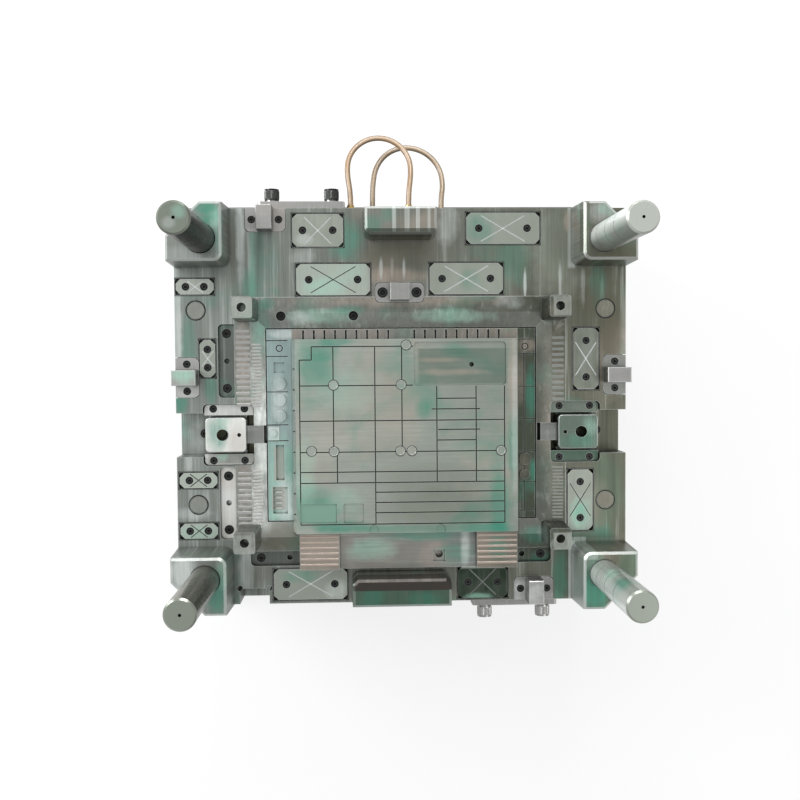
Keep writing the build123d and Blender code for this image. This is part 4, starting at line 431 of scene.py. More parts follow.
def solids_of(name):
    """The lowest and highest corner of each solid in a CAD node."""
    mesh = frame["nodes"][name].data
    places = [tuple(round(part, 6) for part in vertex.co) for vertex in mesh.vertices]
    group = {place: place for place in places}

    def root(place):
        while group[place] != place:
            group[place] = group[group[place]]
            place = group[place]
        return place

    for face in mesh.polygons:
        first, *others = (root(places[index]) for index in face.vertices)
        for other in others:
            group[other] = first
    solids = {}
    for place in group:
        solids.setdefault(root(place), []).append(place)
    return [(Vector(map(min, *points)), Vector(map(max, *points))) for points in solids.values()]


def middles_of(name):
    """The place from above of each solid in a CAD node."""
    return [((low.x + high.x) / 2, (low.y + high.y) / 2) for low, high in solids_of(name)]


def hole_rims(name, level, radius):
    """Rims round the upright pins of a CAD node: centre, half size and radius."""
    return [((x, y, level), (0.0, 0.0, RIM_DEPTH), radius) for x, y in middles_of(name)]


def pocket_rims(name):
    """Rims of the pockets that the solids of a CAD node lie in: centre, half size and radius."""
    rims = []
    for low, high in solids_of(name):
        middle, half = (low + high) / 2, (high - low) / 2
        reach = (half.x + POCKET_GAP, half.y + POCKET_GAP, RIM_DEPTH)
        rims.append(((middle.x, middle.y, FACE), reach, 0.0))
    return rims


def colour(name, about, value):
    """A colour property in linear values."""
    return FloatVectorProperty(name=name, description=about, default=(*value, 1.0), size=4,
                               min=0.0, max=1.0, subtype="COLOR")


def length(name, about, value):
    """A length property in metres."""
    return FloatProperty(name=name, description=about, default=value, min=0.0, unit="LENGTH")


class MouldColours(bpy.types.PropertyGroup):
    """Colours of the steels, stains, springs and hoses, and of the painted highlights and shade."""
    plate: colour("Plate steel", "Milled core plate at its left end", (0.29, 0.31, 0.29))
    plate_oiled: colour("Plate steel, oiled", "Milled core plate at its right end", (0.150, 0.150, 0.115))
    frame: colour("Frame steel", "Milled ring at its left end", (0.32, 0.33, 0.31))
    frame_oiled: colour("Frame steel, oiled", "Milled ring at its right end", (0.085, 0.092, 0.068))
    insert: colour("Insert steel", "Core insert at its left end", (0.46, 0.48, 0.43))
    insert_oiled: colour("Insert steel, oiled", "Core insert at its right end", (0.22, 0.255, 0.22))
    side: colour("Left insert steel", "Ground left insert", (0.315, 0.41, 0.40))
    side_oiled: colour("Right insert steel", "Oiled right insert", (0.065, 0.075, 0.055))
    pad: colour("Pad steel", "Ground wear pads", (0.42, 0.44, 0.40))
    lock: colour("Lock steel", "Ground side locks", (0.40, 0.39, 0.38))
    slide: colour("Left slide steel", "Ground left slide", (0.78, 0.78, 0.75))
    slide_oiled: colour("Right slide steel", "Oiled right slide", (0.125, 0.165, 0.135))
    ramp: colour("Ramp steel", "Milled ramp blocks", (0.37, 0.325, 0.285))
    ramp_oiled: colour("Ramp steel, oiled", "Milled right ramp block", (0.150, 0.144, 0.116))
    # The guide pillars are one steel: the near-black tone of the top left pillar is painted shade and the
    # bright tone of the right pillars painted light
    pillar: colour("Pillar steel", "Hardened left pillars", (0.026, 0.023, 0.019))
    pillar_bright: colour("Pillar steel, bright", "Hardened right pillars", (0.33, 0.36, 0.33))
    green: colour("Green film", "Rust protection film left on the steel", (0.055, 0.26, 0.185))
    mint: colour("Pale film", "Thin rust protection film", (0.36, 0.62, 0.50))
    deep: colour("Dark film", "Thick oily film", (0.035, 0.085, 0.055))
    # Old oil, and the colour of the painted shadow below the rear taper
    oil: colour("Oil", "Old oil on the steel", (0.10, 0.095, 0.065))
    pink: colour("Warm tint", "Warm reflection in the polished steel", (0.44, 0.355, 0.30))
    # Clean bright steel, and the colour of most painted highlights and painted reflections
    bare_steel_and_highlight: colour("Bare steel", "Clean bright steel", (0.68, 0.72, 0.70))
    grey_pad: colour("Grey pad", "Ground pad in the shade", (0.27, 0.295, 0.25))
    pale_pad: colour("Pale pad", "Ground pad with a pale film", (0.40, 0.45, 0.39))
    dark_pad: colour("Dark pad", "Pad under a dark film", (0.018, 0.032, 0.018))
    dull_pad: colour("Dull pad", "Ground pad under oil", (0.145, 0.158, 0.128))
    # Painted shade on the front taper's wall, in a dark brown
    brown_shade: colour("Brown film", "Dried oil on a shaded wall", (0.045, 0.036, 0.032))
    # Oil in a cut line, and the colour of painted shade: on the far sides of round bars, in the core's cut
    # lines, in some pads' lines and on the pins' rims, and of the dark part of the streaks
    line: colour("Dark line", "Oil in a cut line", (0.030, 0.036, 0.026))
    # Dirt round pockets, and the colour of painted shade in corners, gaps and at the foot of walls
    grime_and_shade: colour("Grime", "Oil and dust in the corners", (0.012, 0.012, 0.010))
    # The colour of painted highlights on edges, slopes, lit sides and the pads' cut lines, and of edge wear
    highlight_and_wear: colour("Rubbed edge", "Bright edge of handled steel", (0.78, 0.81, 0.79))
    black: colour("Black oxide", "Black oxide screws", (0.014, 0.015, 0.014))
    spring: colour("Spring blue", "Paint of the die springs", (0.03, 0.10, 0.38))
    brass: colour("Brass", "Hose nipples", (0.62, 0.43, 0.16))
    bronze: colour("Bronze", "Guide bushes", (0.45, 0.27, 0.11))
    hose_tan: colour("Tan hose", "Clear hose aged to tan", (0.29, 0.185, 0.105))
    hose_amber: colour("Amber hose", "Clear hose aged to amber", (0.28, 0.205, 0.135))
    hose_light: colour("Hose light", "Light in the clear hose", (0.50, 0.39, 0.28))


class MouldSizes(bpy.types.PropertyGroup):
    """Sizes of the pieces that are added to the frame."""
    spring_turns: IntProperty(name="Spring turns", description="Working turns of a die spring",
                              default=9, min=3, max=20)
    spring_wire: length("Spring wire height", "Height of the flat wire of a die spring", 0.0075)
    hose_radius: length("Hose radius", "Half the outside diameter of a cooling hose", 0.005)
    tick_height: length("Milling mark height", "How far a milling mark stands up", 0.0005)
    tick_pitch: length("Coarse mark pitch", "Distance between coarse milling marks", 0.0100)
    fine_pitch: length("Fine mark pitch", "Distance between fine milling marks", 0.0060)
    ridge_pitch: length("Ridge pitch", "Distance between the ridges of a ramp block", 0.0098)
    knurl_teeth: IntProperty(name="Knurl teeth", description="Teeth round a knurled screw head",
                             default=36, min=12, max=80)
    vent_radius: length("Vent radius", "Radius of a vent pin in the core's flank", 0.0013)


def colours():
    """The scene's colour properties."""
    return bpy.context.scene.mould_colours


def sizes():
    """The scene's size properties."""
    return bpy.context.scene.mould_sizes


def fill(tree, node, inputs):
    """Fills a node's inputs, or joins them to sockets."""
    for key, value in inputs.items():
        if isinstance(value, bpy.types.NodeSocket):
            tree.links.new(value, node.inputs[key])
        else:
            node.inputs[key].default_value = value


def add(tree, kind, inputs=None, **settings):
    """Adds a shader node, sets its options, and fills or joins its inputs."""
    node = tree.nodes.new("ShaderNode" + kind)
    for name, value in settings.items():
        setattr(node, name, value)
    fill(tree, node, inputs or {})
    return node


def math_node(tree, operation, first, second=0.0):
    """A Math node's result."""
    return add(tree, "Math", {0: first, 1: second}, operation=operation).outputs[0]


def vector_node(tree, operation, first, second=ORIGIN):
    """A Vector Math node's result, a number where the operation gives one."""
    result = "Value" if operation in ("LENGTH", "DOT_PRODUCT") else "Vector"
    return add(tree, "VectorMath", {0: first, 1: second}, operation=operation).outputs[result]


def part_of(tree, vector, axis):
    """One part of a vector."""
    return add(tree, "SeparateXYZ", {0: vector}).outputs[axis]


def noise_node(tree, vector, scale, detail, roughness=0.5, distortion=0.0):
    """A noise between 0 and 1."""
    return add(tree, "TexNoise", {"Vector": vector, "Scale": scale, "Detail": detail, "Roughness": roughness,
                                  "Distortion": distortion}).outputs["Fac"]


def remap(tree, value, low, high, to_low=0.0, to_high=1.0):
    """A value stretched from one range to another and held inside it."""
    inputs = {"Value": value, "From Min": low, "From Max": high, "To Min": to_low, "To Max": to_high}
    return add(tree, "MapRange", inputs, clamp=True).outputs["Result"]


def blend_colour(tree, share, first, second):
    """Two colours mixed by a share."""
    return add(tree, "Mix", {0: share, 6: first, 7: second}, data_type="RGBA").outputs[2]


def new_group(name, inputs, *outputs):
    """An empty node group: its inputs with their defaults, and its outputs, which are numbers."""
    group = bpy.data.node_groups.new(name, "ShaderNodeTree")
    for label, default in inputs.items():
        kind = "NodeSocketVector" if isinstance(default, tuple) else "NodeSocketFloat"
        socket = group.interface.new_socket(label, in_out="INPUT", socket_type=kind)
        socket.default_value = default
    for label in outputs:
        group.interface.new_socket(label, in_out="OUTPUT", socket_type="NodeSocketFloat")
    return group, group.nodes.new("NodeGroupInput").outputs, group.nodes.new("NodeGroupOutput").inputs


def use_group(tree, name, inputs):
    """A node group placed in a material, with its inputs filled or joined."""
    node = tree.nodes.new("ShaderNodeGroup")
    node.node_tree = bpy.data.node_groups[name]
    fill(tree, node, inputs)
    return node.outputs


def make_streak_group():
    """Brushing or milling streaks, fine across and long along, turned on walls that face X."""
    group, given, result = new_group(
        "Machined streaks", {"Vector": ORIGIN, "Normal": UP, "Scale": (60.0, 2.0, 2.0), "Low": 0.38,
                             "High": 0.62}, "Mask")
    facing = math_node(group, "ABSOLUTE", part_of(group, given["Normal"], "X"))
    turned = math_node(group, "GREATER_THAN", facing, FACES_X)
    parts = add(group, "SeparateXYZ", {0: given["Vector"]}).outputs
    swapped = add(group, "CombineXYZ", {"X": parts["Y"], "Y": parts["X"], "Z": parts["Z"]}).outputs[0]
    either = add(group, "Mix", {0: turned, 4: given["Vector"], 5: swapped}, data_type="VECTOR").outputs[1]
    noise = noise_node(group, vector_node(group, "MULTIPLY", either, given["Scale"]), 1.0, detail=4.0,
                       roughness=0.6)
    group.links.new(remap(group, noise, given["Low"], given["High"]), result["Mask"])


def make_bloom_group():
    """Soft patches of a film or tint, anywhere on the surface."""
    group, given, result = new_group(
        "Film patches", {"Vector": ORIGIN, "Size": 0.15, "Threshold": 0.55, "Softness": 0.1,
                         "Offset": ORIGIN}, "Mask")
    moved = vector_node(group, "ADD", given["Vector"], given["Offset"])
    scale = math_node(group, "DIVIDE", 1.0, given["Size"])
    low = math_node(group, "SUBTRACT", given["Threshold"], given["Softness"])
    high = math_node(group, "ADD", given["Threshold"], given["Softness"])
    noise = noise_node(group, moved, scale, detail=3.0, roughness=0.55, distortion=0.4)
    group.links.new(remap(group, noise, low, high), result["Mask"])


def make_rim_group():
    """A slow noise about zero that makes the rims of stains ragged."""
    group, given, result = new_group("Ragged rim", {"Vector": ORIGIN, "Grain": 38.0}, "Shift")
    noise = noise_node(group, given["Vector"], given["Grain"], detail=4.0, roughness=0.6)
    group.links.new(math_node(group, "SUBTRACT", noise, 0.5), result["Shift"])


def make_stain_group():
    """One soft stain at a place; a ragged rim comes from the shift."""
    group, given, result = new_group(
        "Placed stain", {"Vector": ORIGIN, "Centre": ORIGIN, "Reach": STAIN_REACH, "Shift": 0.0,
                         "Ragged": 0.9, "Rim": 1.05, "Full": 0.45}, "Mask")
    offset = vector_node(group, "SUBTRACT", given["Vector"], given["Centre"])
    reach = vector_node(group, "LENGTH", vector_node(group, "DIVIDE", offset, given["Reach"]))
    edge = math_node(group, "ADD", reach, math_node(group, "MULTIPLY", given["Shift"], given["Ragged"]))
    group.links.new(remap(group, edge, given["Rim"], given["Full"]), result["Mask"])


def make_panel_group():
    """A box with a firm rim, for one pad or panel of several."""
    group, given, result = new_group(
        "Placed panel", {"Vector": ORIGIN, "Centre": ORIGIN, "Reach": STAIN_REACH, "Shift": 0.0,
                         "Ragged": 0.08, "Rim": 1.02, "Full": 0.94}, "Mask")
    offset = vector_node(group, "SUBTRACT", given["Vector"], given["Centre"])
    size = vector_node(group, "ABSOLUTE", vector_node(group, "DIVIDE", offset, given["Reach"]))
    parts = add(group, "SeparateXYZ", {0: size}).outputs
    edge = math_node(group, "MAXIMUM", math_node(group, "MAXIMUM", parts["X"], parts["Y"]), parts["Z"])
    rim = math_node(group, "ADD", edge, math_node(group, "MULTIPLY", given["Shift"], given["Ragged"]))
    group.links.new(remap(group, rim, given["Rim"], given["Full"]), result["Mask"])


def make_pocket_group():
    """A thin dark line on the rim of a rectangular pocket or of a round hole: dirt and painted shade of the
    gap.
    """
    group, given, result = new_group(
        "Pocket rim", {"Vector": ORIGIN, "Centre": ORIGIN, "Half": ORIGIN, "Radius": 0.0}, "Mask")
    offset = vector_node(group, "SUBTRACT", given["Vector"], given["Centre"])
    past = vector_node(group, "SUBTRACT", vector_node(group, "ABSOLUTE", offset), given["Half"])
    away = vector_node(group, "LENGTH", vector_node(group, "MAXIMUM", past))
    reach = math_node(group, "SUBTRACT", away, given["Radius"])
    group.links.new(remap(group, reach, DIRT_END, DIRT_START), result["Mask"])


def make_edge_group():
    """Edges, found from a rounded normal against the true one: painted highlights and wear, and on the pins
    painted shade.
    """
    group, given, result = new_group("Edge light, shade and wear", {"Radius": 0.0012, "Flat": 0.995, "Sharp": 0.88},
                                     "Mask")
    soft = add(group, "Bevel", {"Radius": given["Radius"]}, samples=4).outputs[0]
    true = add(group, "NewGeometry").outputs["Normal"]
    match = vector_node(group, "DOT_PRODUCT", soft, true)
    group.links.new(remap(group, match, given["Flat"], given["Sharp"]), result["Mask"])


def make_wall_group():
    """Upright walls, and the foot of the walls that stand on the parting face, where shade is painted."""
    group, given, result = new_group(
        "Upright walls", {"Normal": ORIGIN, "Vector": ORIGIN, "Level": 0.75, "Upright": 0.15, "Top": 0.15},
        "Mask", "Shaded foot")
    level = math_node(group, "ABSOLUTE", part_of(group, given["Normal"], "Z"))
    wall = remap(group, level, given["Level"], given["Upright"])
    height = part_of(group, given["Vector"], "Z")
    foot = remap(group, height, FACE + FOOT_START, FACE + FOOT_END, 1.0, given["Top"])
    group.links.new(wall, result["Mask"])
    group.links.new(math_node(group, "MULTIPLY", wall, foot), result["Shaded foot"])


def make_turn_group():
    """Sides of a round bar that face the window, and the sides that face away from it."""
    group, given, result = new_group(
        "Light and shade sides", {"Normal": ORIGIN, "Toward": LEFT, "Light start": 0.70, "Light full": 0.98,
                                  "Shade start": 0.10, "Shade full": -0.80}, "Light", "Shade")
    turn = vector_node(group, "DOT_PRODUCT", given["Normal"], given["Toward"])
    for side in ("Light", "Shade"):
        group.links.new(remap(group, turn, given[side + " start"], given[side + " full"]), result[side])


def make_chamfer_group():
    """Faces that slope between level and upright, where highlights are painted, weaker where they face the
    bright left.
    """
    group, given, result = new_group(
        "Sloping face highlights", {"Normal": ORIGIN, "Upright": 0.12, "Leaning": 0.28, "Level": 0.95,
                          "Sloping": 0.88}, "Mask")
    parts = add(group, "SeparateXYZ", {0: given["Normal"]}).outputs
    steep = remap(group, parts["Z"], given["Upright"], given["Leaning"])
    level = remap(group, parts["Z"], given["Level"], given["Sloping"])
    shy = remap(group, parts["X"], *SHY_LEFT)
    slope = math_node(group, "MULTIPLY", steep, level)
    group.links.new(math_node(group, "MULTIPLY", slope, shy), result["Mask"])


def make_corner_group():
    """Painted shade in corners, holes and gaps, where little light comes in."""
    group, given, result = new_group("Corner grime", {"Distance": 0.006, "Open": 0.72, "Shut": 0.28}, "Mask")
    near = add(group, "AmbientOcclusion", {"Distance": given["Distance"]}, samples=8).outputs["AO"]
    group.links.new(remap(group, near, given["Open"], given["Shut"]), result["Mask"])


def make_side_group():
    """How far along the plate a point lies, 0 at the left and 1 at the right, with a ragged change."""
    group, given, result = new_group(
        "Left to right", {"Vector": ORIGIN, "Left": -0.38, "Right": 0.34, "Shift": 0.0, "Ragged": 0.22},
        "Mask")
    shift = math_node(group, "MULTIPLY", given["Shift"], given["Ragged"])
    along = math_node(group, "ADD", part_of(group, given["Vector"], "X"), shift)
    group.links.new(remap(group, along, given["Left"], given["Right"]), result["Mask"])


def make_line_group():
    """Places between two heights, such as the floors of cut lines."""
    group, given, result = new_group("Cut lines", {"Vector": ORIGIN, "Low": 0.0, "High": 1.0}, "Mask")
    height = part_of(group, given["Vector"], "Z")
    above = math_node(group, "GREATER_THAN", height, given["Low"])
    below = math_node(group, "LESS_THAN", height, given["High"])
    group.links.new(math_node(group, "MULTIPLY", above, below), result["Mask"])


def make_groups():
    """All shared effects."""
    for make in (make_streak_group, make_bloom_group, make_rim_group, make_stain_group, make_panel_group,
                 make_pocket_group, make_edge_group, make_wall_group, make_turn_group,
                 make_chamfer_group, make_corner_group, make_side_group, make_line_group):
        make()


def shade(name, roughness, metal):
    """A new material's tree, its shader and its object coordinates."""
    material = bpy.data.materials.new(name)
    material.use_nodes = True
    tree = material.node_tree
    shader = tree.nodes["Principled BSDF"]
    shader.inputs["Metallic"].default_value = metal
    shader.inputs["Roughness"].default_value = roughness
    return material, tree, shader, add(tree, "TexCoord").outputs


def shaded(tone, share):
    """A colour made darker, or paler where the share is over 1."""
    return [*(part * share for part in tone[:3]), 1.0]


def wash(tree, tone, mask, strength, cover):
    """A tone covered by another where the mask is, as far as the strength says."""
    return blend_colour(tree, math_node(tree, "MULTIPLY", mask, strength), tone, cover)


def stain_masks(tree, at, shift, stains):
    """The mask of each stain in a list, with its strength and colour name."""
    for kind, centre, reach, strength, tone in stains:
        group = "Placed stain" if kind == "spot" else "Placed panel"
        mask = use_group(tree, group, {"Vector": at, "Centre": centre, "Reach": reach, "Shift": shift})
        yield math_node(tree, "MULTIPLY", mask["Mask"], strength), tone


def pocket_dirt_and_shade(tree, tone, at, shift, pockets):
    """Dirt and painted shade round pockets and holes, given by their centre, half size and radius."""
    for centre, half, radius in pockets:
        given = {"Vector": at, "Centre": centre, "Half": half, "Radius": radius}
        mask = use_group(tree, "Pocket rim", given)["Mask"]
        tone = wash(tree, tone, mask, remap(tree, shift, *DIRT_WEAR), colours().grime_and_shade)
    return tone


def cut_lines(tree, tone, at, normal, shift, lines, stains):
    """The level floors of cut lines, painted shade in the core and in some pads and a painted highlight in
    the other pads, given by their top, depths, colour and strength.
    """
    top, deep, shallow, colour_name, strength = lines
    cut = use_group(tree, "Cut lines", {"Vector": at, "Low": top - deep, "High": top - shallow})["Mask"]
    upright = use_group(tree, "Upright walls", {"Normal": normal})["Mask"]
    cut = math_node(tree, "MULTIPLY", cut, math_node(tree, "SUBTRACT", 1.0, upright))
    paint = getattr(colours(), colour_name)
    for mask, stain_tone in stain_masks(tree, at, shift, stains):
        paint = blend_colour(tree, mask, paint, getattr(colours(), stain_tone))
    return wash(tree, tone, cut, strength, paint)


def steel(name, left, right, stains=(), streak=(46.0, 3.0), fine=(320.0, 5.0), depth=0.5, film=0.64,
          warm=0.66, wall=0.45, slope=0.6, rub=0.6, edge=0.0012, rough=(0.30, 0.48), metal=0.8,
          seed=0.0, lines=None, dark_lines=(), grime_and_shade=0.006, rim="highlight_and_wear", grain=0.12, lit=0.0,
          late=(), turn=True, pockets=(), toward=LEFT, tint=1.0):
    """Machined steel from its bare tone to streaks, films, stains, walls, edges, lines and corners, with
    painted reflections, highlights and shade.
    """
    material, tree, shader, place = shade(name, rough[0], metal)
    shader.inputs["Specular Tint"].default_value = (tint, tint, tint, 1.0)
    at, normal = place["Object"], place["Normal"]
    palette = colours()
    shift = use_group(tree, "Ragged rim", {"Vector": at})["Shift"]
    side = use_group(tree, "Left to right", {"Vector": at, "Shift": shift})["Mask"]
    tone = blend_colour(tree, side, left, right)
    way = {"Vector": at, "Normal": normal} if turn else {"Vector": at}
    broad = use_group(tree, "Machined streaks", {**way, "Scale": (*streak, streak[-1])[:3]})["Mask"]
    thin = use_group(tree, "Machined streaks", {**way, "Scale": (*fine, fine[-1])[:3]})["Mask"]
    streaks = blend_colour(tree, THIN_SHARE, broad, thin)
    # Dark and bright streaks: milling streaks, partly painted reflections
    tone = blend_colour(tree, remap(tree, streaks, 0.0, 1.0, depth, 0.0), tone, palette.line)
    bright_streak_and_reflection = remap(tree, streaks, LIFT_START, 1.0, 0.0, LIFT_SHARE * depth)
    tone = blend_colour(tree, bright_streak_and_reflection, tone, palette.bare_steel_and_highlight)
    # Patches of painted warm reflection, and patches of film
    for (size, strength, cover), threshold, offset in ((WARM_PATCH, warm, seed + WARM_SEED),
                                                       (FILM_PATCH, film, seed)):
        patch = use_group(tree, "Film patches", {"Vector": at, "Size": size, "Threshold": threshold,
                                                 "Softness": PATCH_RIM, "Offset": (offset, offset, 0.0)})
        tone = wash(tree, tone, patch["Mask"], strength, getattr(palette, cover))
    # Stains: films, and painted highlights, reflections and shadows where their colour is one
    for mask, cover in stain_masks(tree, at, shift, stains):
        tone = wash(tree, tone, mask, remap(tree, streaks, *STAIN_WEAR), getattr(palette, cover))
    # Dirt and painted shade on the rims of pockets and holes
    tone = pocket_dirt_and_shade(tree, tone, at, shift, pockets)
    # The floors of cut lines: painted shade in the core's, a painted highlight in most pads'
    if lines:
        tone = cut_lines(tree, tone, at, normal, shift, lines, dark_lines)
    # Painted shade at the foot of the walls
    walls = use_group(tree, "Upright walls", {"Normal": normal, "Vector": at})
    tone = wash(tree, tone, walls["Shaded foot"], wall, palette.grime_and_shade)
    # Painted highlight on the side that faces the light, painted shade on the far side
    if lit:
        sides = use_group(tree, "Light and shade sides", {"Normal": normal, "Toward": toward})
        tone = wash(tree, tone, sides["Light"], lit, palette.highlight_and_wear)
        tone = wash(tree, tone, sides["Shade"], lit, palette.line)
    # Painted highlights on sloping faces and chamfers
    chamfer_highlights = use_group(tree, "Sloping face highlights", {"Normal": normal})["Mask"]
    tone = wash(tree, tone, chamfer_highlights, slope, palette.highlight_and_wear)
    # Painted highlights and wear on the edges, in the rim colour; on the pins the dark rim colour paints
    # shade
    edge_paint = use_group(tree, "Edge light, shade and wear", {"Radius": edge})["Mask"]
    tone = wash(tree, tone, edge_paint, rub, getattr(palette, rim))
    # Late stains over all the rest: painted light and shade on the plate, the pillars' tips and dark films
    for mask, cover in stain_masks(tree, at, shift, late):
        tone = blend_colour(tree, mask, tone, getattr(palette, cover))
    # Painted shade in corners, holes and gaps
    corners = use_group(tree, "Corner grime", {"Distance": grime_and_shade})["Mask"]
    tree.links.new(blend_colour(tree, corners, tone, palette.grime_and_shade), shader.inputs["Base Color"])
    tree.links.new(remap(tree, streaks, 0.0, 1.0, rough[1], rough[0]), shader.inputs["Roughness"])
    bump = add(tree, "Bump", {"Strength": grain, "Distance": STREAK_RELIEF, "Height": streaks})
    tree.links.new(bump.outputs[0], shader.inputs["Normal"])
    return material


def plain(name, tone, roughness, metal, grain=300.0, rub=0.0):
    """An even finish with a fine grain, small changes of tone, painted highlights and wear on its edges, and
    painted shade in its corners.
    """
    material, tree, shader, place = shade(name, roughness, metal)
    noise = noise_node(tree, place["Object"], grain, detail=3.0)
    cloud = noise_node(tree, place["Object"], grain / CLOUD_SIZE, detail=2.0)
    paint = blend_colour(tree, cloud, shaded(tone, CLOUD_SHADE), tone)
    # Painted highlights and wear on the edges
    edge_paint = use_group(tree, "Edge light, shade and wear", {"Radius": 0.0007})["Mask"]
    paint = wash(tree, paint, edge_paint, rub, colours().highlight_and_wear)
    # Painted shade in corners, holes and gaps
    corners = use_group(tree, "Corner grime", {"Distance": 0.004})["Mask"]
    tree.links.new(blend_colour(tree, corners, paint, colours().grime_and_shade), shader.inputs["Base Color"])
    bump = add(tree, "Bump", {"Strength": 0.06, "Distance": GRAIN_RELIEF, "Height": noise})
    tree.links.new(bump.outputs[0], shader.inputs["Normal"])
    return material


def finish_nodes(material, *names):
    """Gives CAD nodes a material."""
    for name in names:
        mesh = frame["nodes"][name].data
        mesh.materials.clear()
        mesh.materials.append(material)


def deselect():
    """Nothing selected, and no mesh in edit mode."""
    if bpy.context.object and bpy.context.object.mode != "OBJECT":
        bpy.ops.object.mode_set(mode="OBJECT")
    bpy.ops.object.select_all(action="DESELECT")


def settle(piece):
    """Moves a piece's place, turn and scale into its mesh."""
    deselect()
    piece.select_set(True)
    bpy.context.view_layer.objects.active = piece
    bpy.ops.object.transform_apply(location=True, rotation=True, scale=True)
    return piece


def cylinder(radius, depth, vertices, turn=0.0, axis="X", open_ends=False, place=ORIGIN):
    """A new cylinder along Z, or turned about an axis, with its place in its mesh."""
    deselect()
    angles = [math.radians(turn) * (name == axis) for name in "XYZ"]
    bpy.ops.mesh.primitive_cylinder_add(vertices=vertices, radius=radius, depth=depth, location=place,
                                        end_fill_type="NOTHING" if open_ends else "NGON",
                                        rotation=angles)
    return settle(bpy.context.object)


def edit_all():
    """The active piece in edit mode, selected all over."""
    bpy.ops.object.mode_set(mode="EDIT")
    bpy.ops.mesh.select_all(action="SELECT")


def edit_where(piece, test):
    """A piece in edit mode with only the vertices selected whose place passes a test."""
    bpy.ops.object.mode_set(mode="EDIT")
    bpy.ops.mesh.select_all(action="DESELECT")
    bpy.ops.object.mode_set(mode="OBJECT")
    for vertex in piece.data.vertices:
        vertex.select = test(vertex.co)
    bpy.ops.object.mode_set(mode="EDIT")


def resize(across, along, up, middle=ORIGIN):
    """Scales what is selected about a point."""
    bpy.ops.transform.resize(value=(across, along, up), center_override=middle)


def copy_at(piece, offset):
    """A copy of a piece with its own mesh, moved by an offset in its mesh."""
    twin = piece.copy()
    twin.data = piece.data.copy()
    bpy.context.scene.collection.objects.link(twin)
    for vertex in twin.data.vertices:
        vertex.co += Vector(offset)
    return twin


def join(name, pieces):
    """Several pieces made one."""
    deselect()
    for piece in pieces:
        piece.select_set(True)
    bpy.context.view_layer.objects.active = pieces[0]
    bpy.ops.object.join()
    pieces[0].name = name
    pieces[0].data.name = name
    return pieces[0]


def repeat(name, first, places):
    """Copies of a piece at several places, joined under one name. The first one goes."""
    twins = [copy_at(first, place) for place in places]
    bpy.data.objects.remove(first)
    return join(name, twins)


def dress(piece, material, body):
    """Material and body of a new piece."""
    piece.data.materials.clear()
    piece.data.materials.append(material)
    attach(piece, body)
    return piece


# The lamps: place, size in metres and power in watts
LAMPS = (("lamp_left", (-2.1, 0.9, 1.5), 1.4, 60.0), ("lamp_right", (1.7, -0.5, 2.2), 1.2, 14.0),
         ("lamp_rear", (0.1, 2.2, 1.5), 1.4, 44.0))
LAMP_AIM = (0.0, 0.0, 0.3)
SKY_LOW = (0.30, 0.29, 0.27, 1.0)
SKY_HIGH = (0.80, 0.82, 0.82, 1.0)
SKY_TOP = 0.9
WHITE = (1.0, 1.0, 1.0, 1.0)
FLOOR_TONE = (0.86, 0.86, 0.86, 1.0)
FLOOR_SIZE = 12.0
FLOOR_DROP = 0.0005
FLOOR_GLOW = 0.72


class MOULD_OT_stage(bpy.types.Operator):
    """Makes the camera, the lamps, the world and the pale floor"""
    bl_idname = "mould.stage"
    bl_label = "Studio"

    def execute(self, context):
        data = bpy.data.cameras.new("camera")
        data.lens = CAMERA_LENS
        data.sensor_width = SENSOR
        data.clip_end = 20.0
        turn = [math.radians(angle) for angle in CAMERA_TURN]
        context.scene.camera = self.put("camera", data, CAMERA_PLACE, turn)
        context.scene.view_settings.view_transform = "Standard"
        for name, place, size, power in LAMPS:
            lamp = bpy.data.lights.new(name, "AREA")
            lamp.size = size
            lamp.energy = power
            aim = Vector(LAMP_AIM) - Vector(place)
            self.put(name, lamp, place, aim.to_track_quat("-Z", "Y").to_euler())
        self.world(context.scene)
        self.floor()
        return {"FINISHED"}

    def put(self, name, data, place, turn):
        """A camera or a lamp at its place."""
        piece = bpy.data.objects.new(name, data)
        bpy.context.scene.collection.objects.link(piece)
        piece.location = place
        piece.rotation_euler = turn
        return piece

    def world(self, scene):
        """A soft sky, bright overhead and grey at the horizon, white to the camera."""
        world = bpy.data.worlds.new("studio")
        scene.world = world
        world.use_nodes = True
        tree = world.node_tree
        background = tree.nodes["Background"]
        height = part_of(tree, add(tree, "TexCoord").outputs["Generated"], "Z")
        sky = blend_colour(tree, remap(tree, height, 0.0, SKY_TOP), SKY_LOW, SKY_HIGH)
        seen = add(tree, "LightPath").outputs["Is Camera Ray"]
        tree.links.new(blend_colour(tree, seen, sky, WHITE), background.inputs["Color"])
        background.inputs["Strength"].default_value = 1.0

    def floor(self):
        """A pale floor that keeps the object's shadow."""
        deselect()
        bpy.ops.mesh.primitive_plane_add(size=FLOOR_SIZE, location=(0.0, 0.0, CAD_BOX[0][2] - FLOOR_DROP))
        piece = bpy.context.object
        piece.name = "floor"
        material, tree, shader, _ = shade("floor_white", 0.8, 0.0)
        shader.inputs["Base Color"].default_value = FLOOR_TONE
        light = add(tree, "Emission", {"Color": WHITE, "Strength": 1.0}).outputs[0]
        path = add(tree, "LightPath").outputs
        rays = math_node(tree, "MAXIMUM", path["Is Camera Ray"], path["Is Glossy Ray"])
        rays = math_node(tree, "MAXIMUM", rays, path["Is Transmission Ray"])
        glow = math_node(tree, "MULTIPLY", rays, FLOOR_GLOW)
        mix = add(tree, "MixShader", {0: glow, 1: shader.outputs[0], 2: light})
        tree.links.new(mix.outputs[0], tree.nodes["Material Output"].inputs["Surface"])
        piece.data.materials.append(material)


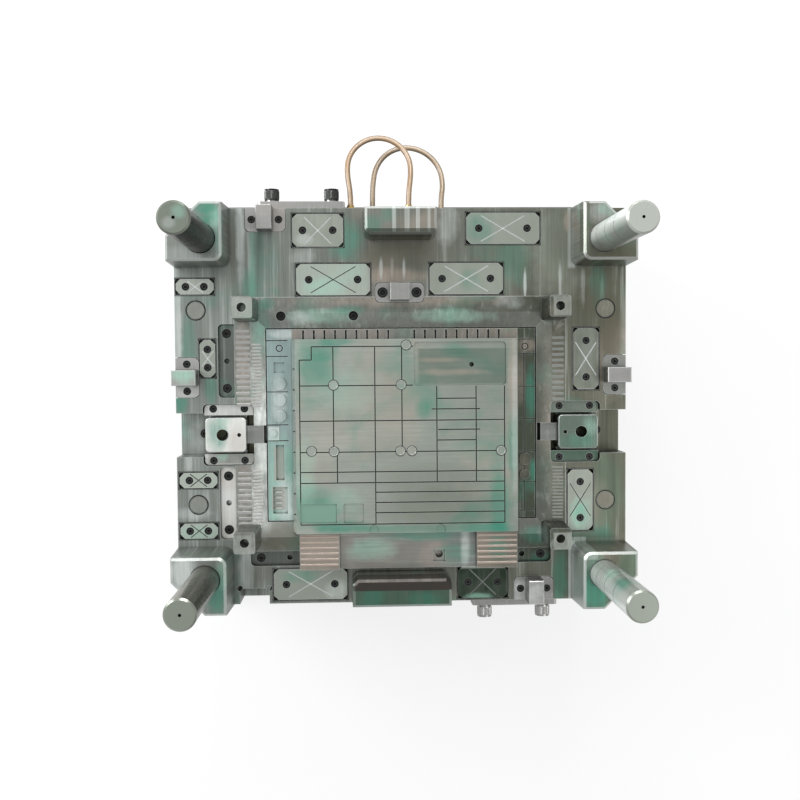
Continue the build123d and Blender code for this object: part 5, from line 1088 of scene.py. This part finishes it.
# The hoses' points, from one nipple or port to the other
UPPER_HOSE = [(-0.090, 0.362, 0.298), (-0.090, 0.384, 0.298), (-0.096, 0.420, 0.293),
              (-0.094, 0.449, 0.287), (-0.078, 0.474, 0.280), (-0.0525, 0.488, 0.276),
              (-0.0235, 0.488, 0.274), (0.002, 0.474, 0.276), (0.018, 0.449, 0.283),
              (0.020, 0.420, 0.291), (0.015, 0.384, 0.298), (0.015, 0.362, 0.298)]
LOWER_HOSE = [(-0.050, 0.362, 0.262), (-0.050, 0.382, 0.262), (-0.049, 0.408, 0.259),
              (-0.044, 0.438, 0.253), (-0.027, 0.464, 0.246), (0.001, 0.479, 0.240),
              (0.032, 0.478, 0.238), (0.059, 0.463, 0.241), (0.077, 0.437, 0.247),
              (0.081, 0.406, 0.256), (0.077, 0.382, 0.262), (0.077, 0.362, 0.262)]
# Ranges for remap: a hose's cloudy tone, the painted shade on its sides and the painted light along its top
HOSE_CLOUD = (0.35, 0.65)
HOSE_SIDE = (0.55, 0.15, 0.0, 0.55)
HOSE_TOP = (0.90, 0.99, 0.0, 0.75)


class MOULD_OT_hoses(bpy.types.Operator):
    """Lays the two cooling hoses behind the core plate"""
    bl_idname = "mould.hoses"
    bl_label = "Cooling hoses"

    def hose(self, name, route, material):
        """One hose on its smooth line."""
        data = bpy.data.curves.new(name, "CURVE")
        data.dimensions = "3D"
        spline = data.splines.new("NURBS")
        spline.points.add(len(route) - 1)
        for point, place in zip(spline.points, route):
            point.co = (*place, 1.0)
        spline.order_u = 3
        spline.use_endpoint_u = True
        spline.resolution_u = 8
        data.bevel_depth = sizes().hose_radius
        data.bevel_resolution = 4
        data.use_fill_caps = True
        piece = bpy.data.objects.new(name, data)
        bpy.context.scene.collection.objects.link(piece)
        data.materials.append(material)
        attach(piece, "mould_base")
        return piece

    def skin(self, name, tone):
        """Aged clear hose: painted shade on its sides, a painted light along its top and a cloudy tone."""
        material, tree, shader, place = shade(name, 0.24, 0.0)
        cloud = remap(tree, noise_node(tree, place["Object"], 28.0, detail=3.0), *HOSE_CLOUD)
        wall = blend_colour(tree, cloud, shaded(tone, 0.7), tone)
        height = part_of(tree, place["Normal"], "Z")
        wall = blend_colour(tree, remap(tree, height, *HOSE_SIDE), wall, shaded(tone, 0.35))
        light = remap(tree, height, *HOSE_TOP)
        tree.links.new(blend_colour(tree, light, wall, colours().hose_light), shader.inputs["Base Color"])
        shader.inputs["Coat Weight"].default_value = 0.4
        shader.inputs["Coat Roughness"].default_value = 0.12
        return material

    def execute(self, context):
        upper = self.hose("upper_hose", UPPER_HOSE, self.skin("hose_tan", colours().hose_tan))
        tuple(UPPER_HOSE[0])
        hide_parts("upper_cooling_hose")
        lower = self.hose("lower_hose", LOWER_HOSE, self.skin("hose_amber", colours().hose_amber))
        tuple(LOWER_HOSE[0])
        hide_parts("lower_cooling_hose")
        return {"FINISHED"}


class MOULD_OT_plates(bpy.types.Operator):
    """Finishes the core plate, the clamp plate, the spacers and the ejector plates"""
    bl_idname = "mould.plates"
    bl_label = "Plates"

    def execute(self, context):
        palette = colours()
        pockets = [rim for name in WEAR_PADS for rim in pocket_rims(name)]
        pockets += hole_rims("return_pins", FACE, PIN_HOLE_RADIUS)
        plate = steel("plate_steel", palette.plate, palette.plate_oiled, PLATE_STAINS, film=0.68,
                      warm=0.66, wall=0.25, slope=0.5, late=LIGHT_AND_SHADE_STAINS, pockets=pockets)
        finish_nodes(plate, "core_plate")
        base = steel("base_steel", shaded(palette.plate, 0.9), shaded(palette.plate, 0.7),
                     streak=(3.0, 60.0), fine=(6.0, 420.0), film=0.78, warm=0.66, seed=5.0, wall=0.1)
        finish_nodes(base, "bottom_clamp_plate", "front_spacer_block", "rear_spacer_block",
                     "ejector_retainer_plate", "ejector_base_plate")
        return {"FINISHED"}


class MOULD_OT_core(bpy.types.Operator):
    """Finishes the core frame, the inserts and the ramp blocks"""
    bl_idname = "mould.core"
    bl_label = "Core and frame"

    def execute(self, context):
        palette = colours()
        top = CORE_BOX[1].z
        ring = steel("frame_steel", palette.frame, palette.frame_oiled, RING_STAINS,
                     streak=(26.0, 22.0), fine=(160.0, 60.0), film=0.64, seed=1.3, wall=0.3)
        finish_nodes(ring, "core_frame")
        core = steel("insert_steel", palette.insert, palette.insert_oiled, CORE_STAINS,
                     streak=(5.0, 14.0), fine=(12.0, 300.0), depth=0.22, film=0.62, warm=0.6, seed=2.1,
                     rough=(0.28, 0.42), slope=0.85, rub=0.25, grime_and_shade=0.003,
                     pockets=hole_rims("ejector_pins", top, EJECTOR_PIN_RADIUS),
                     lines=(top, *CORE_LINES), dark_lines=CORE_LINES_STAINS)
        finish_nodes(core, "core_insert")
        left = steel("side_steel", palette.side, palette.side, LEFT_STAINS, streak=(30.0, 14.0),
                     depth=0.3, film=0.7, warm=0.85, seed=4.0, rub=0.5)
        finish_nodes(left, "left_side_insert")
        right = steel("side_steel_oiled", palette.side_oiled, palette.side_oiled, RIGHT_STAINS,
                      streak=(30.0, 14.0), depth=0.35, film=0.66, warm=0.7, seed=6.0, rub=0.35)
        finish_nodes(right, "right_side_insert")
        blades = steel("blade_steel", shaded(palette.lock, 0.85), palette.ramp_oiled,
                       streak=(90.0, 40.0), depth=0.3, film=0.7, warm=0.6, seed=7.0)
        finish_nodes(blades, "port_blade_row")
        ramp = steel("ramp_steel", palette.ramp, palette.ramp_oiled, SIDE_RAMP_STAINS,
                     streak=(6.0, 60.0), fine=(12.0, 300.0), depth=0.3, film=0.8, warm=0.6, seed=8.0)
        finish_nodes(ramp, "left_ramp_block", "right_ramp_block")
        centre = steel("centre_ramp_steel", shaded(palette.frame, 0.85), shaded(palette.frame, 0.7),
                       CENTRE_RAMP_STAINS, streak=(6.0, 60.0), fine=(12.0, 300.0), depth=0.35,
                       film=0.75, warm=0.6, seed=9.0)
        finish_nodes(centre, "centre_ramp_block")
        return {"FINISHED"}


# The pillars: steel, tip colour, stains, seed, strength of light and shade, metal, the side that the
# light comes from and how strongly the steel mirrors
PILLARS = (("guide_pillar_1", "ramp_oiled", "grey_pad", (), 10.0, 0.5, 0.8, LEFT, 1.0),
           ("guide_pillar_2", "pillar", "grey_pad", (), 20.0, 0.08, 0.95, LEFT, 0.75),
           ("guide_pillar_3", "pillar_bright", "grey_pad", PILLAR_3_STAINS, 30.0, 0.6, 0.4, LEFT, 1.0),
           ("guide_pillar_4", "pillar_bright", "pad", PILLAR_4_STAINS, 40.0, 0.8, 0.4, REAR_LEFT, 1.0))
TIP_REACH = (0.6, 0.6, 0.0035)
TIP_STRENGTH = 0.9
# How many of the core's stains the ejector pins share with it
PIN_STAINS = 6


class MOULD_OT_guides(bpy.types.Operator):
    """Finishes the pillars, pads, locks, slides, gibs and pins"""
    bl_idname = "mould.guides"
    bl_label = "Guides, pads and locks"

    def execute(self, context):
        palette = colours()
        self.pillars(palette)
        self.pins(palette)
        pad = steel("pad_steel", palette.pad, shaded(palette.pad, 0.8), PAD_STAINS, streak=(60.0, 24.0),
                    depth=0.25, film=0.78, warm=0.78, seed=11.0, rub=0.5, late=DARK_PAD_STAINS,
                    lines=(FACE + PAD_PROUD, *PAD_LINES), dark_lines=DARK_LINES_STAINS)
        finish_nodes(pad, *WEAR_PADS)
        lock = steel("lock_steel", palette.lock, shaded(palette.lock, 0.75), LOCK_STAINS,
                     streak=(14.0, 50.0), depth=0.25, film=0.8, warm=0.66, seed=12.0, rub=0.5)
        finish_nodes(lock, "edge_side_locks", "centre_lock", "rear_transport_strap",
                     "front_transport_strap", "stop_buttons", "support_pillars")
        slide = steel("slide_steel", palette.slide, palette.slide, LEFT_SLIDE_STAINS,
                      streak=(40.0, 16.0), depth=0.2, film=0.85, warm=0.7, seed=13.0)
        finish_nodes(slide, "left_slide")
        oiled = steel("slide_steel_oiled", palette.slide_oiled, palette.slide_oiled, RIGHT_SLIDE_STAINS,
                      streak=(40.0, 16.0), depth=0.25, film=0.75, warm=0.8, seed=15.0)
        finish_nodes(oiled, "right_slide")
        dark = steel("wear_plate_steel", shaded(palette.oil, 1.6), palette.oil, streak=(30.0, 60.0),
                     depth=0.3, film=0.8, warm=0.7, seed=16.0)
        finish_nodes(dark, "slide_wear_plates")
        tongue = steel("tongue_steel", shaded(palette.frame, 0.9), shaded(palette.frame, 0.6),
                       streak=(14.0, 60.0), depth=0.3, film=0.8, warm=0.6, seed=19.0)
        finish_nodes(tongue, "left_slide_tongue", "right_slide_tongue")
        gib = steel("gib_steel", shaded(palette.slide, 0.85), palette.slide_oiled, GIB_STAINS,
                    streak=(20.0, 30.0), depth=0.25, film=0.75, warm=0.7, seed=17.0)
        finish_nodes(gib, "slide_gibs")
        strip = steel("strip_steel", shaded(palette.plate, 0.55), palette.side_oiled,
                      streak=(50.0, 4.0), depth=0.3, film=0.58, warm=0.9, seed=14.0, rub=0.3)
        finish_nodes(strip, "upper_wedge_strip", "retaining_bar")
        pale = steel("pale_strip_steel", palette.slide, palette.slide, streak=(50.0, 4.0), depth=0.2,
                     film=0.8, warm=0.6, seed=18.0, rub=0.3)
        finish_nodes(pale, "lower_wedge_strip")
        return {"FINISHED"}

    def pillars(self, palette):
        """Pillars with grey tips, painted dark at the left and bright at the right as shade and light, with
        painted light and shade on their sides.
        """
        for name, tone_name, cap, films, seed, lit, metal, toward, tint in PILLARS:
            tone = getattr(palette, tone_name)
            tip = ("panel", (0.0, 0.0, CAD_BOX[1][2]), TIP_REACH, TIP_STRENGTH, cap)
            finish = steel(name + "_steel", tone, tone, films, streak=(14.0, 14.0, 5.0),
                           fine=(4.0, 4.0, 900.0), depth=0.08, film=0.9, warm=0.9, wall=0.0,
                           rough=(0.26, 0.30), metal=metal, seed=seed, grain=0.02, lit=lit, rub=0.7,
                           turn=False, late=(tip, *TIP_STAINS), toward=toward, tint=tint)
            finish_nodes(finish, name)

    def pins(self, palette):
        """Return pins and guide pins with dark rims of painted shade, and ejector pins like the core."""
        # The pins' edges painted dark as the shade of their gaps
        pins = steel("pin_steel", shaded(palette.pad, 0.68), shaded(palette.ramp_oiled, 1.45),
                     streak=(40.0, 12.0), fine=(120.0, 60.0), depth=0.25, film=0.85, warm=0.75, wall=0.0,
                     seed=50.0, rim="line", rub=1.0, edge=0.0016, grain=0.03, turn=False)
        finish_nodes(pins, "ejector_guide_pins", "return_pins")
        small = steel("ejector_pin_steel", shaded(palette.insert, 0.9), shaded(palette.insert_oiled, 1.1),
                      CORE_STAINS[:PIN_STAINS], streak=(8.0, 30.0), depth=0.15, film=0.7, warm=0.6, wall=0.0,
                      seed=51.0, rub=0.3, turn=False)
        finish_nodes(small, "ejector_pins")


class MOULD_OT_fittings(bpy.types.Operator):
    """Finishes the screws, washers, bushes and nipples"""
    bl_idname = "mould.fittings"
    bl_label = "Screws and fittings"

    def execute(self, context):
        palette = colours()
        black = plain("black_oxide", palette.black, 0.34, 0.6, grain=700.0, rub=0.28)
        finish_nodes(black, "wear_pad_screws", "side_lock_screws", "slide_gib_screws",
                     "slide_stop_bolts", "centre_lock_screws", "strip_screws", "core_frame_screws",
                     "rear_strap_bolts", "clamp_bolts", "ejector_plate_screws", "support_screws")
        bright = plain("bright_steel", palette.lock, 0.3, 0.9, grain=500.0, rub=0.5)
        finish_nodes(bright, "front_strap_bolts", "strap_washers")
        brass = plain("brass", palette.brass, 0.3, 0.95, grain=500.0, rub=0.3)
        finish_nodes(brass, "hose_nipples")
        bronze = plain("bronze", palette.bronze, 0.35, 0.95, grain=400.0, rub=0.3)
        finish_nodes(bronze, "ejector_guide_bushes")
        return {"FINISHED"}


# Milling marks of the frame: first and last X, first and last Y, and whether they are fine
LEFT_MARKS = ((-0.2935, -0.2690, 0.000, 0.148, False), (-0.2665, -0.2505, 0.000, 0.120, True),
              (-0.2935, -0.2690, -0.212, -0.104, False), (-0.2665, -0.2505, -0.212, -0.104, True))
RIGHT_MARKS = ((0.2670, 0.2880, 0.005, 0.125, False), (0.2670, 0.2865, -0.205, -0.104, True))
SLOPE_EDGE_LEFT = -0.269
SLOPE_RATIO = 10.0 / 28.0
MARK_SHARE = 0.58
MARK_SWAY = 0.0012
MARK_SWAY_STEP = 2.3
MARK_TOP_SHARE = 0.72
# How far an added piece reaches into the steel that it stands on
SINK = 0.0001
RIDGE_HEIGHT = 0.0006
RIDGE_SHARE = 0.42
RIDGE_INSET = 0.001
RIDGE_MARGIN = 0.004
VENT_PITCH = 0.0365
VENT_MARGIN = 0.015
VENT_DEPTH = 0.004
VENT_BEVEL = 0.0003
VENT_INSET = 0.0045
VENT_RISE = 0.019
PIN_RIM_HEIGHT = 0.0007
PIN_RIM_TOP = 0.94
PIN_RIM_BORE = 0.93
KNURL_LENGTH = 0.014
KNURL_INSET = 0.0035
KNURL_PROUD = 0.0005
KNURL_ROOT = 0.955
KNURL_BORE = 0.93
KNURL_END = 0.98


class MOULD_OT_marks(bpy.types.Operator):
    """Adds the milling marks, ramp ridges, vent pins, knurled sleeves and ejector pin rims"""
    bl_idname = "mould.marks"
    bl_label = "Milling marks"

    def bar(self, name, length, width, height):
        """A low bar with sloping sides, its underside at the origin."""
        deselect()
        bpy.ops.mesh.primitive_cube_add(size=1.0, location=(0.0, 0.0, height / 2))
        piece = bpy.context.object
        piece.name = name
        piece.scale = (length, width, height)
        settle(piece)
        edit_where(piece, lambda place: place.z > height / 2)
        resize((length - height) / length, MARK_TOP_SHARE, 1.0, (0.0, 0.0, height))
        bpy.ops.object.mode_set(mode="OBJECT")
        return piece

    def marks(self, name, fields):
        """Fields of milling marks, each bar laid on the frame's slope."""
        bars = []
        for x0, x1, y0, y1, fine in fields:
            pitch = sizes().fine_pitch if fine else sizes().tick_pitch
            first = self.bar(name, x1 - x0, pitch * MARK_SHARE, sizes().tick_height)
            for number in range(int((y1 - y0) / pitch)):
                sway = MARK_SWAY * math.sin(number * MARK_SWAY_STEP) * (x0 < 0)
                place = ((x0 + x1) / 2 + sway, y0 + (number + 0.5) * pitch, FACE - SINK)
                twin = copy_at(first, place)
                for vertex in twin.data.vertices:
                    vertex.co.z -= max(0.0, vertex.co.x - SLOPE_EDGE_LEFT) * SLOPE_RATIO * (x0 < 0)
                bars.append(twin)
            bpy.data.objects.remove(first)
        return join(name, bars)

    def ridges(self, node, name):
        """Ridges across the top of a ramp block."""
        low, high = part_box(node)
        pitch = sizes().ridge_pitch
        first = self.bar(name, high.x - low.x - 2 * RIDGE_INSET, pitch * RIDGE_SHARE, RIDGE_HEIGHT)
        count = int((high.y - low.y - RIDGE_MARGIN) / pitch)
        middle, start = (low.x + high.x) / 2, low.y + RIDGE_MARGIN
        return repeat(name, first, [(middle, start + (row + 0.5) * pitch, high.z - SINK)
                                    for row in range(count)])

    def vents(self):
        """Small vent pins down the core's left flank."""
        low, high = CORE_BOX
        first = cylinder(sizes().vent_radius, VENT_DEPTH, 12, -90.0, "Y")
        edit_all()
        bpy.ops.mesh.bevel(offset=VENT_BEVEL, segments=1, affect="EDGES")
        bpy.ops.object.mode_set(mode="OBJECT")
        count = int((high.y - low.y - 2 * VENT_MARGIN) / VENT_PITCH)
        start = low.y + VENT_MARGIN
        return repeat("core_vents", first, [(low.x + VENT_INSET, start + (row + 0.5) * VENT_PITCH,
                                             FACE + VENT_RISE) for row in range(count)])

    def knurls(self, node, name):
        """Knurled sleeves round the heads of two bolts in a wall."""
        low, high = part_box(node)
        side = 1 if high.y > 0 else -1
        outer = high.y if side > 0 else low.y
        head = (high.z - low.z) / 2
        teeth = sizes().knurl_teeth
        first = cylinder(head + KNURL_PROUD, KNURL_LENGTH, 2 * teeth, 90.0, open_ends=True)
        step = math.pi / teeth
        edit_where(first, lambda place: round(math.atan2(place.z, place.x) / step) % 2 == 0)
        resize(KNURL_ROOT, 1.0, KNURL_ROOT)
        bpy.ops.mesh.select_all(action="SELECT")
        bpy.ops.mesh.extrude_edges_move()
        resize(KNURL_BORE, KNURL_END, KNURL_BORE)
        bpy.ops.object.mode_set(mode="OBJECT")
        middle = outer - side * (KNURL_LENGTH / 2 + KNURL_INSET)
        return repeat(name, first, [(x, middle, low.z + head) for x in (low.x + head, high.x - head)])

    def pin_rims(self):
        """Raised rims on the ends of the ejector pins in the core's face."""
        first = cylinder(EJECTOR_PIN_RADIUS - SINK, PIN_RIM_HEIGHT, 32, open_ends=True)
        edit_where(first, lambda place: place.z > 0)
        resize(PIN_RIM_TOP, PIN_RIM_TOP, 1.0)
        for share, drop in ((PIN_RIM_TOP, 0.0), (PIN_RIM_BORE, -PIN_RIM_HEIGHT)):
            bpy.ops.mesh.extrude_edges_move(TRANSFORM_OT_translate={"value": (0.0, 0.0, drop)})
            resize(share, share, 1.0)
        bpy.ops.object.mode_set(mode="OBJECT")
        level = CORE_BOX[1].z + PIN_RIM_HEIGHT / 2 - SINK
        return repeat("ejector_pin_rims", first, [(x, y, level) for x, y in middles_of("ejector_pins")])

    def execute(self, context):
        palette = colours()
        pale = plain("mark_pale", palette.lock, 0.4, 0.7, grain=900.0, rub=0.3)
        warm = plain("ridge_warm", palette.pink, 0.4, 0.7, grain=900.0, rub=0.3)
        dull = plain("mark_dull", shaded(palette.pad, 0.6), 0.4, 0.7, grain=900.0, rub=0.1)
        bright = plain("rim_bright", shaded(palette.bare_steel_and_highlight, 0.75), 0.35, 0.6, grain=900.0)
        dark = plain("vent_dark", palette.line, 0.4, 0.6, grain=900.0)
        dress(self.marks("left_milling_marks", LEFT_MARKS), pale, "mould_base")
        dress(self.marks("right_milling_marks", RIGHT_MARKS), dull, "mould_base")
        for node in ("left_ramp_block", "right_ramp_block"):
            dress(self.ridges(node, node.replace("block", "ridges")), warm, "mould_base")
        rear, front = bpy.data.materials["black_oxide"], bpy.data.materials["bright_steel"]
        dress(self.knurls("rear_strap_bolts", "rear_knurls"), rear, "mould_base")
        dress(self.knurls("front_strap_bolts", "front_knurls"), front, "mould_base")
        dress(self.pin_rims(), bright, "ejector_set")
        dress(self.vents(), dark, "mould_base")
        return {"FINISHED"}


SPRING_INNER = 0.0165
SPRING_OUTER = 0.0285
SPRING_GAP = 0.0005
SPRING_STEPS = 28
WIRE_BEVEL = 0.0012
LEVEL_NORMAL = 0.9


class MOULD_OT_springs(bpy.types.Operator):
    """Winds the four return springs from flat wire"""
    bl_idname = "mould.springs"
    bl_label = "Return springs"

    def coil(self, low, high):
        """The working turns of a spring from flat wire round the Z axis."""
        wire = sizes().spring_wire
        turns = sizes().spring_turns
        deselect()
        middle = ((SPRING_INNER + SPRING_OUTER) / 2, 0.0, low + wire)
        bpy.ops.mesh.primitive_plane_add(size=1.0, location=middle, rotation=(math.radians(90), 0.0, 0.0))
        piece = bpy.context.object
        piece.scale = (SPRING_OUTER - SPRING_INNER, wire, 1.0)
        settle(piece)
        edit_all()
        bpy.ops.mesh.bevel(offset=WIRE_BEVEL, segments=2, affect="VERTICES")
        bpy.ops.mesh.delete(type="ONLY_FACE")
        bpy.ops.object.mode_set(mode="OBJECT")
        wind = piece.modifiers.new("wind", "SCREW")
        wind.axis = "Z"
        wind.steps = SPRING_STEPS
        wind.render_steps = SPRING_STEPS
        wind.iterations = turns
        wind.screw_offset = (high - low - 2 * wire) / turns
        bpy.ops.object.modifier_apply(modifier="wind")
        edit_all()
        bpy.ops.mesh.remove_doubles(threshold=0.00001)
        bpy.ops.mesh.fill_holes(sides=40)
        bpy.ops.mesh.normals_make_consistent(inside=False)
        bpy.ops.object.mode_set(mode="OBJECT")
        return piece

    def ring(self, low, high):
        """A ground end turn of a spring."""
        piece = cylinder(SPRING_OUTER, high - low, SPRING_STEPS, place=(0.0, 0.0, (low + high) / 2))
        bpy.ops.object.mode_set(mode="EDIT")
        bpy.ops.mesh.select_mode(type="FACE")
        bpy.ops.mesh.select_all(action="DESELECT")
        bpy.ops.object.mode_set(mode="OBJECT")
        for face in piece.data.polygons:
            face.select = abs(face.normal.z) > LEVEL_NORMAL
        bpy.ops.object.mode_set(mode="EDIT")
        bpy.ops.mesh.inset(thickness=SPRING_OUTER - SPRING_INNER)
        bpy.ops.mesh.bridge_edge_loops()
        bpy.ops.object.mode_set(mode="OBJECT")
        return piece

    def execute(self, context):
        low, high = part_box("return_springs")
        reach_x = high.x - SPRING_OUTER - SPRING_GAP
        reach_y = high.y - SPRING_OUTER - SPRING_GAP
        wire = sizes().spring_wire
        turns = self.coil(low.z, high.z)
        ends = [self.ring(level, level + wire) for level in (low.z, high.z - wire)]
        first = join("return_coil", [turns, *ends])
        piece = repeat("return_spring_coils", first,
                       [(x, y, 0.0) for x in (-reach_x, reach_x) for y in (-reach_y, reach_y)])
        paint = plain("spring_blue", colours().spring, 0.32, 0.0, grain=250.0)
        dress(piece, paint, "mould_base")
        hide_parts("return_springs")
        stroke = [joint for joint in frame["joints"] if joint["name"] == "ejector_stroke"][0]
        keep = 1.0 - max(stroke["range_m"]) / (high.z - low.z)
        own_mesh(piece)
        return {"FINISHED"}


OPERATORS = (MOULD_OT_stage, MOULD_OT_hoses, MOULD_OT_plates, MOULD_OT_core, MOULD_OT_guides,
             MOULD_OT_fittings, MOULD_OT_marks, MOULD_OT_springs)


class MOULD_PT_pieces(bpy.types.Panel):
    """Shows the sizes, the colours and the steps of the mould base"""
    bl_idname = "MOULD_PT_pieces"
    bl_label = "Mould base"
    bl_space_type = "VIEW_3D"
    bl_region_type = "UI"
    bl_category = "Mould base"

    def draw(self, context):
        for group in (context.scene.mould_sizes, context.scene.mould_colours):
            box = self.layout.box()
            for name in group.__annotations__:
                box.prop(group, name)
        for operator in OPERATORS:
            self.layout.operator(operator.bl_idname)


CLASSES = (MouldColours, MouldSizes, *OPERATORS, MOULD_PT_pieces)


def register():
    """Adds the classes and the scene's properties."""
    for one in CLASSES:
        bpy.utils.register_class(one)
    bpy.types.Scene.mould_colours = PointerProperty(type=MouldColours)
    bpy.types.Scene.mould_sizes = PointerProperty(type=MouldSizes)


def unregister():
    """Takes the classes and the properties away."""
    del bpy.types.Scene.mould_sizes
    del bpy.types.Scene.mould_colours
    for one in reversed(CLASSES):
        bpy.utils.unregister_class(one)


def main():
    """Makes every piece in order."""
    register()
    make_groups()
    bpy.ops.mould.stage()
    bpy.ops.mould.hoses()
    bpy.ops.mould.plates()
    bpy.ops.mould.core()
    bpy.ops.mould.guides()
    bpy.ops.mould.fittings()
    bpy.ops.mould.marks()
    bpy.ops.mould.springs()


if __name__ == "__main__":
    main()
